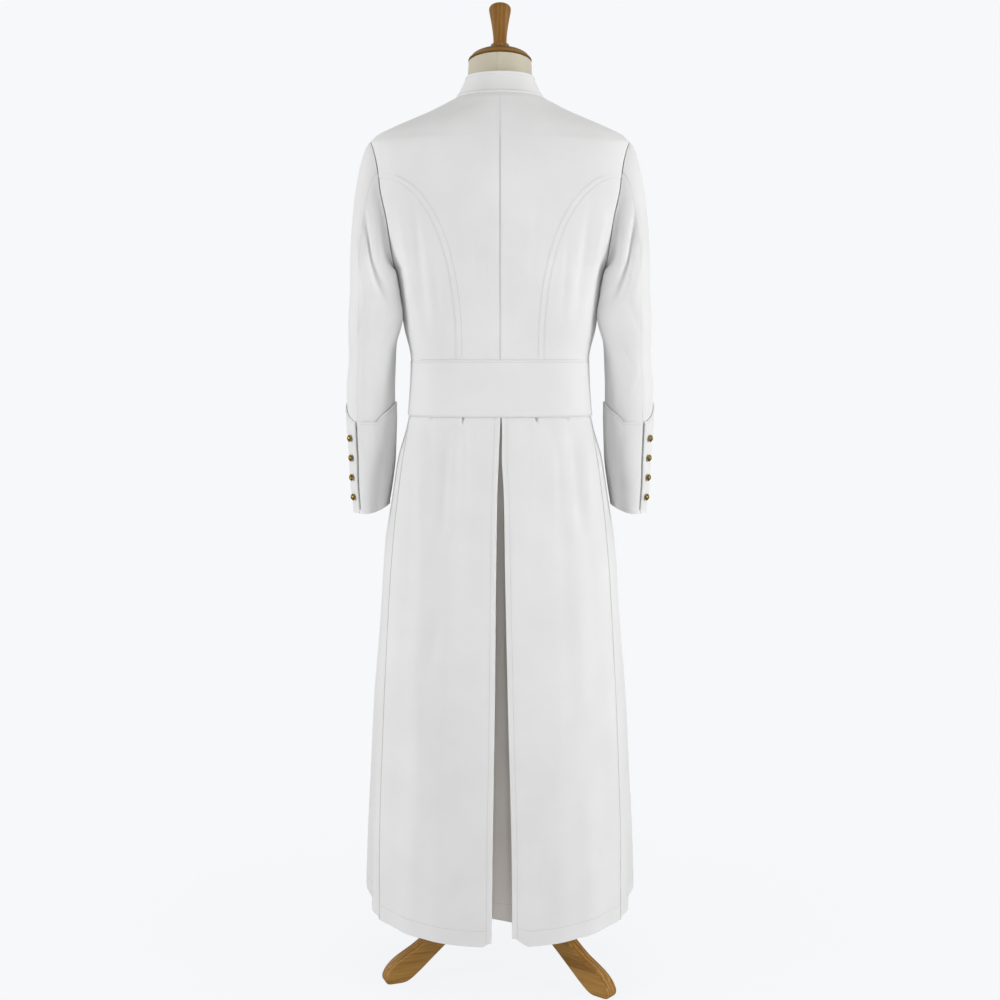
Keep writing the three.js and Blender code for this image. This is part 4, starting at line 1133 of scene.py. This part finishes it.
# %% Linen form
linen = weave_material("linen_cover", (0.66, 0.61, 0.49), (0.52, 0.47, 0.36), 0.0011, 0.0004, 0.9, 0.35)
NECK_TOP = 1647.0
NECK_Y = -3.0
NECK_LEAN = 9.0
FORM_BOTTOM = 900.0
NECK_SEAM_ANGLE = -5.5
NECK_RINGS = ((1594, 58.5, 57, 5), (1618, 57, 56, 8), (NECK_TOP, 55.4, 55.4, NECK_LEAN))
around = np.concatenate([np.linspace(-180, -11, 58, endpoint=False), np.linspace(-11, 0, 22, endpoint=False),
                         np.linspace(0, 180, 62, endpoint=False)])


def form_rings(z):
    """The body's own rings, set in under the cloth, with x held below a limit by a soft clamp:
    x divided by (1 + (x / limit)^8) to the power 1/8."""
    z = z[:, None]
    limit = mix(212, 170, smooth(1500, 1290, z))
    inset = 1.6 + 10 * smooth(1530, 1460, z) + 4 * smooth(1250, 1000, z)
    drop = (WALL + 1.2) * smooth(1440, 1500, z)
    ring = body_point(around[None, :], z + drop, inset, relief=False)
    ring[..., 0] /= (1 + np.abs(ring[..., 0] / limit) ** 8) ** (1 / 8)
    ring[..., 1] *= np.where(ring[..., 1] > 0, 1 - 0.2 * smooth(1490, 1560, z), 1)
    ring[..., 2] = z + 0 * ring[..., 2]
    return ring


def neck_ring(z, half, deep, lean):
    """Ellipse whose plane leans forwards: the height falls by the tangent of the lean times y."""
    y = -deep * np.cos(around * DEG)
    return np.stack([half * np.sin(around * DEG), NECK_Y + y, z - y * math.tan(lean * DEG)], axis=-1)


body_z = np.concatenate([np.linspace(FORM_BOTTOM, 1440, 60), np.linspace(1444, 1580, 45)])
rings = [form_rings(body_z)]
last = rings[0][-1]
for row in NECK_RINGS:
    following = neck_ring(*row)
    share = np.linspace(0, 1, 9)[1:, None, None]
    rings.append(mix(last[None], following[None], share))
    last = following
rings = np.concatenate(rings)
seam_dip = np.exp(-((around - NECK_SEAM_ANGLE) / 0.8) ** 2)[None, :, None]
rings[..., :2] *= 1 - 0.014 * seam_dip
form_uv = np.stack([np.broadcast_to(around * DEG * 0.06, rings.shape[:2]), rings[..., 2] * MM], axis=-1)
form_faces = lathe_faces(len(rings), len(around))
form = new_piece("form_torso_linen", rings, form_faces, linen, form_uv, sharp=60)
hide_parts("form_torso")

# %% [markdown]
# The cap, finial, pole and legs are oiled hardwood. The grain runs along each piece, so every wooden
# piece keeps its own place before it was turned or cut as an attribute, and the pattern reads that.

# %% Wood
def wood_material(name, dark, middle, light):
    """Stretched noise for the fibres over slow bands for the growth rings, read from the attribute."""
    material, nodes, links, shader = node_material(name)
    grain = nodes.new("ShaderNodeAttribute")
    grain.attribute_name = "grain"
    stretch = nodes.new("ShaderNodeMapping")
    stretch.inputs["Scale"].default_value = (1.0, 1.0, 0.05)
    links.new(grain.outputs["Vector"], stretch.inputs["Vector"])
    fibres = nodes.new("ShaderNodeTexNoise")
    fibres.inputs["Scale"].default_value = 420.0
    fibres.inputs["Detail"].default_value = 6.0
    fibres.inputs["Roughness"].default_value = 0.6
    links.new(stretch.outputs["Vector"], fibres.inputs["Vector"])
    bands = nodes.new("ShaderNodeTexWave")
    bands.inputs["Scale"].default_value = 34.0
    bands.inputs["Distortion"].default_value = 7.0
    bands.inputs["Detail"].default_value = 3.0
    bands.inputs["Detail Scale"].default_value = 1.6
    links.new(stretch.outputs["Vector"], bands.inputs["Vector"])
    both = nodes.new("ShaderNodeMix")
    both.inputs["Factor"].default_value = 0.3
    links.new(fibres.outputs["Fac"], both.inputs["A"])
    links.new(bands.outputs["Fac"], both.inputs["B"])
    ramp = nodes.new("ShaderNodeValToRGB")
    ramp.color_ramp.elements[0].position = 0.18
    ramp.color_ramp.elements[0].color = (*dark, 1)
    ramp.color_ramp.elements[1].position = 0.86
    ramp.color_ramp.elements[1].color = (*light, 1)
    centre = ramp.color_ramp.elements.new(0.5)
    centre.color = (*middle, 1)
    links.new(both.outputs["Result"], ramp.inputs["Fac"])
    links.new(ramp.outputs["Color"], shader.inputs["Base Color"])
    bump = nodes.new("ShaderNodeBump")
    bump.inputs["Strength"].default_value = 0.25
    bump.inputs["Distance"].default_value = 0.0003
    links.new(fibres.outputs["Fac"], bump.inputs["Height"])
    links.new(bump.outputs["Normal"], shader.inputs["Normal"])
    shader.inputs["Roughness"].default_value = 0.5
    shader.inputs["Specular IOR Level"].default_value = 0.22
    shader.inputs["Coat Weight"].default_value = 0.06
    shader.inputs["Coat Roughness"].default_value = 0.3
    return material


wood = wood_material("oiled_wood", (0.16, 0.068, 0.012), (0.335, 0.165, 0.034), (0.52, 0.29, 0.082))
dark_wood = wood_material("dark_wood", (0.18, 0.078, 0.011), (0.262, 0.12, 0.019), (0.34, 0.165, 0.034))
rim_wood = wood_material("rim_wood", (0.16, 0.068, 0.012), (0.335, 0.165, 0.034), (0.52, 0.29, 0.082))

# Painted shade: the cap's colour is darkened to less than half over the dome above the rim and over the foot
# below it, and only a little along the rim.
rim_nodes, rim_links = rim_wood.node_tree.nodes, rim_wood.node_tree.links
rim_place = rim_nodes.new("ShaderNodeAttribute")
rim_place.attribute_name = "grain"
rim_axes = rim_nodes.new("ShaderNodeSeparateXYZ")
rim_links.new(rim_place.outputs["Vector"], rim_axes.inputs["Vector"])
rim_height = rim_nodes.new("ShaderNodeMapRange")
rim_height.inputs["From Max"].default_value = 0.02
rim_links.new(rim_axes.outputs["Y"], rim_height.inputs["Value"])
cap_shade_ramp = rim_nodes.new("ShaderNodeValToRGB")
cap_shade_ramp.color_ramp.elements[0].color = (0.4, 0.4, 0.4, 1)
cap_shade_ramp.color_ramp.elements[1].color = (0.42, 0.42, 0.42, 1)
cap_shade_ramp.color_ramp.elements[1].position = 0.55
for rim_position, painted_cap_shade in ((0.09, 0.45), (0.15, 0.85), (0.33, 0.8)):
    cap_shade_ramp.color_ramp.elements.new(rim_position).color = (painted_cap_shade, painted_cap_shade, painted_cap_shade, 1)
rim_links.new(rim_height.outputs["Result"], cap_shade_ramp.inputs["Fac"])
rim_product = rim_nodes.new("ShaderNodeVectorMath")
rim_product.operation = "MULTIPLY"
rim_colour = rim_nodes["Principled BSDF"].inputs["Base Color"]
rim_links.new(rim_colour.links[0].from_socket, rim_product.inputs[0])
rim_links.new(cap_shade_ramp.outputs["Color"], rim_product.inputs[1])
rim_links.new(rim_product.outputs["Vector"], rim_colour)


RIM_RADIUS = 55


def keep_grain(piece, own):
    """Stores each point's own place, in metres, with z along the grain."""
    layer = piece.data.attributes.new("grain", "FLOAT_VECTOR", "POINT")
    layer.data.foreach_set("vector", (np.asarray(own, float).reshape(-1, 3) * MM).ravel())


def turned_piece(node, profile, sides, place, lean=0.0, rounds=2, timber=wood, ring_grain=False):
    """A profile turned on the lathe, leant forwards about x, and set in its place. With ring_grain the
    fibres follow the rim: the length along it, radius times angle, takes the place of the height."""
    grid = lathe(softened(profile, rounds), sides)
    c, s = math.cos(lean * DEG), math.sin(lean * DEG)
    x, y, z = grid[..., 0], grid[..., 1], grid[..., 2]
    points = np.stack([x, y * c + z * s, z * c - y * s], axis=-1) + np.array(place)
    piece = new_piece(node + "_wood", points, lathe_faces(len(grid), sides), timber, sharp=50)
    if ring_grain:
        along = RIM_RADIUS * np.abs(np.arctan2(x, -y))
        grid = np.stack([np.hypot(x, y), z, along], axis=-1)
    keep_grain(piece, grid)
    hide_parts(node)


head_place = (0, NECK_Y, NECK_TOP + SEAM + 0.1)
cap_height = 22.0
cap_profile = [(0.5, 0), (30, 0), (54.4, 0), (55.2, 0.5), (55.2, 1.4), (54.2, 1.9), (54.2, 2.6), (55.6, 3),
               (55.9, 4), (55.6, 5.2), (54.2, 5.8), (52.6, 6.2), (52.4, 7.4), (51, 10.4), (48, 13),
               (41, 16.8), (30, 20), (20, cap_height), (0.5, cap_height)]
turned_piece("neck_cap", cap_profile, 96, head_place, NECK_LEAN, 1, rim_wood, ring_grain=True)
foot = cap_height + SEAM
finial_profile = [(0.5, foot), (15, foot), (16.3, 23), (16.6, 27), (16.6, 31.4), (15.6, 32.6), (12.6, 33.4),
                  (11.9, 35.5), (11.7, 41), (12.4, 52), (14.4, 67), (17.2, 83), (19.4, 94), (19.2, 99.4),
                  (15.5, 104), (7.5, 106.4), (0.5, 106.7)]
turned_piece("finial", finial_profile, 64, head_place, NECK_LEAN, 1, dark_wood)

STAND_X = 13.0
HUB_TOP = 166.0
stand = (STAND_X, 0, 0)
pole_profile = [(0.5, HUB_TOP + SEAM), (13, HUB_TOP + SEAM), (14, HUB_TOP + 2), (14, 300), (14, 500), (14, 700),
                (14, FORM_BOTTOM - 2), (13, FORM_BOTTOM - SEAM), (0.5, FORM_BOTTOM - SEAM)]
turned_piece("stand_pole", pole_profile, 48, stand, rounds=1)
hub_profile = [(0.5, 103), (28, 103), (34.5, 106), (36, 110), (36, 130), (36, 154), (33, 160), (24, HUB_TOP),
               (0.5, HUB_TOP)]
turned_piece("stand_hub", hub_profile, 72, stand, rounds=1)

# %% [markdown]
# A leg is sawn to a curved side view and its edges are rounded over. Its outline goes round as one closed
# curve. Across the width the outline shrinks near both faces, as a quarter circle does, which rounds the
# edges.

# %% Legs
LEG_WIDTH = 27.0
EDGE_RADIUS = 4.0
LEG_OUTLINE = np.array([
    # distance from the pole's axis and height: over the top to the toe, then back along the sole and arch
    (36.3, 150), (55, 146.5), (75, 140), (95, 129), (115, 115), (135, 98.5), (155, 82), (178, 64), (200, 52),
    (219, 41), (233, 28), (240, 15), (240, 6), (234, 0), (218, 0), (202, 0), (190, 6), (172, 20), (148, 41),
    (122, 63), (92, 87), (64, 104), (36.3, 112)], float)
FIRST_LEG = -68.9

outline = softened(LEG_OUTLINE, 2)
ahead = np.gradient(outline, axis=0)
ahead /= np.linalg.norm(ahead, axis=1, keepdims=True)
inward = np.stack([-ahead[:, 1], ahead[:, 0]], axis=-1)
centre_line = outline.mean(axis=0)
inward *= np.sign(((centre_line - outline) * inward).sum(1).sum())
corner = np.linspace(0, math.pi / 2, 6)
half = LEG_WIDTH / 2
across = np.concatenate([-half + EDGE_RADIUS * (1 - np.cos(corner)),
                         half - EDGE_RADIUS * (1 - np.cos(corner[::-1]))])
shrink = np.concatenate([EDGE_RADIUS * (1 - np.sin(corner)), EDGE_RADIUS * (1 - np.sin(corner[::-1]))])
for number in range(3):
    flat = outline[None] + inward[None] * shrink[:, None, None]
    own = np.stack([np.broadcast_to(across[:, None], flat.shape[:2]), flat[..., 1], flat[..., 0]], axis=-1)
    azimuth = (FIRST_LEG + 120 * number) * DEG
    direction = np.array([math.sin(azimuth), -math.cos(azimuth), 0])
    side = np.array([math.cos(azimuth), math.sin(azimuth), 0])
    points = (np.array(stand) + flat[..., :1] * direction + across[:, None, None] * side
              + flat[..., 1:] * np.array([0, 0, 1]))
    rows, cols = flat.shape[:2]
    faces = [list(f) for f in grid_faces(rows, cols, True)]
    faces += [list(range(cols))[::-1], [(rows - 1) * cols + i for i in range(cols)]]
    a = points.reshape(-1, 3)
    volume = sum(float(np.dot(a[f[0]], np.cross(a[f[1]], a[f[2]]))) for f in faces[:-2])
    leg = new_piece(f"leg_{number + 1}_wood", points, faces, wood, sharp=50)
    if volume < 0:
        leg.data.flip_normals()
    keep_grain(leg, own)
    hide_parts(f"leg_{number + 1}")

# %% [markdown]
# The studio is plain: a pale floor, a lit backdrop behind the garment that brightens its edges, a dimmer
# room on the camera's side, and soft lamps that show the folds. The floor glows a little, like a lit white
# sweep, so that only a faint shadow stays under the feet and no horizon shows.

# %% Studio
BACKGROUND = (0.930, 0.939, 0.956)
ROOM_LIGHT = 0.34
BACKDROP_LIGHT = 0.98
FLOOR_BOUNCE = 0.42
world = bpy.data.worlds.new("studio")
bpy.context.scene.world = world
world.use_nodes = True
world_nodes, world_links = world.node_tree.nodes, world.node_tree.links
wall_light = world_nodes["Background"]
wall_light.inputs["Color"].default_value = (*BACKGROUND, 1)
wall_light.inputs["Strength"].default_value = 1.0
room_light = world_nodes.new("ShaderNodeBackground")
room_light.inputs["Color"].default_value = (1.0, 0.995, 0.985, 1)
direction = world_nodes.new("ShaderNodeTexCoord")
axes = world_nodes.new("ShaderNodeSeparateXYZ")
world_links.new(direction.outputs["Generated"], axes.inputs["Vector"])
behind = world_nodes.new("ShaderNodeMapRange")
behind.interpolation_type = "SMOOTHSTEP"
behind.inputs["From Min"].default_value = -0.35
behind.inputs["From Max"].default_value = 0.75
behind.inputs["To Min"].default_value = ROOM_LIGHT
behind.inputs["To Max"].default_value = BACKDROP_LIGHT
world_links.new(axes.outputs["Y"], behind.inputs["Value"])
world_links.new(behind.outputs["Result"], room_light.inputs["Strength"])
ray = world_nodes.new("ShaderNodeLightPath")
choice = world_nodes.new("ShaderNodeMixShader")
world_links.new(ray.outputs["Is Camera Ray"], choice.inputs["Fac"])
world_links.new(room_light.outputs["Background"], choice.inputs[1])
world_links.new(wall_light.outputs["Background"], choice.inputs[2])
world_links.new(choice.outputs["Shader"], world_nodes["World Output"].inputs["Surface"])

sweep, sweep_nodes, sweep_links, sweep_shader = node_material("pale_floor")
sweep_shader.inputs["Base Color"].default_value = (0.9, 0.9, 0.9, 1)
sweep_shader.inputs["Roughness"].default_value = 0.9
glow = sweep_nodes.new("ShaderNodeEmission")
glow.inputs["Color"].default_value = (*BACKGROUND, 1)
sight = sweep_nodes.new("ShaderNodeLightPath")
strength = sweep_nodes.new("ShaderNodeMapRange")
strength.inputs["To Min"].default_value = FLOOR_BOUNCE
strength.inputs["To Max"].default_value = 1.0
sweep_links.new(sight.outputs["Is Camera Ray"], strength.inputs["Value"])
sweep_links.new(strength.outputs["Result"], glow.inputs["Strength"])
floor_place = sweep_nodes.new("ShaderNodeTexCoord")
distance = sweep_nodes.new("ShaderNodeVectorMath")
distance.operation = "LENGTH"
sweep_links.new(floor_place.outputs["Object"], distance.inputs[0])
fade = sweep_nodes.new("ShaderNodeMapRange")
fade.interpolation_type = "SMOOTHSTEP"
fade.inputs["From Min"].default_value = 0.2
fade.inputs["From Max"].default_value = 1.1
fade.inputs["To Min"].default_value = 0.93
fade.inputs["To Max"].default_value = 1.0
sweep_links.new(distance.outputs["Value"], fade.inputs["Value"])
floor_mix = sweep_nodes.new("ShaderNodeMixShader")
sweep_links.new(fade.outputs["Result"], floor_mix.inputs["Fac"])
sweep_links.new(sweep_shader.outputs["BSDF"], floor_mix.inputs[1])
sweep_links.new(glow.outputs["Emission"], floor_mix.inputs[2])
floor_output = sweep_nodes["Material Output"]
sweep_links.new(floor_mix.outputs["Shader"], floor_output.inputs["Surface"])

floor_mesh = bpy.data.meshes.new("studio_floor")
RADIUS = 60.0
floor_corners = [(-RADIUS, -RADIUS, 0), (RADIUS, -RADIUS, 0), (RADIUS, RADIUS, 0), (-RADIUS, RADIUS, 0)]
floor_mesh.from_pydata(floor_corners, [], [(0, 1, 2, 3)])
floor_mesh.materials.append(sweep)
studio_floor = bpy.data.objects.new("studio_floor", floor_mesh)
bpy.context.scene.collection.objects.link(studio_floor)


def lamp(name, place, target, size, power):
    """Soft area lamp that looks at a target; places and sizes in metres."""
    data = bpy.data.lights.new(name, "AREA")
    data.shape = "RECTANGLE"
    data.size, data.size_y = size
    data.energy = power
    light = bpy.data.objects.new(name, data)
    light.location = place
    offset = [t - p for t, p in zip(target, place)]
    flat = math.hypot(offset[0], offset[1])
    light.rotation_euler = (math.pi / 2 + math.atan2(offset[2], flat), 0, math.atan2(-offset[0], offset[1]))
    bpy.context.scene.collection.objects.link(light)


lamp("left_softbox", (-2.78, -1.38, 1.2), (0, 0, 1.15), (0.9, 1.4), 45)
lamp("right_softbox", (2.78, -1.38, 1.3), (0, 0, 1.15), (0.9, 1.4), 53)
lamp("front_softbox", (0.3, -3.6, 1.2), (0, 0, 1.1), (1.6, 1.0), 19)
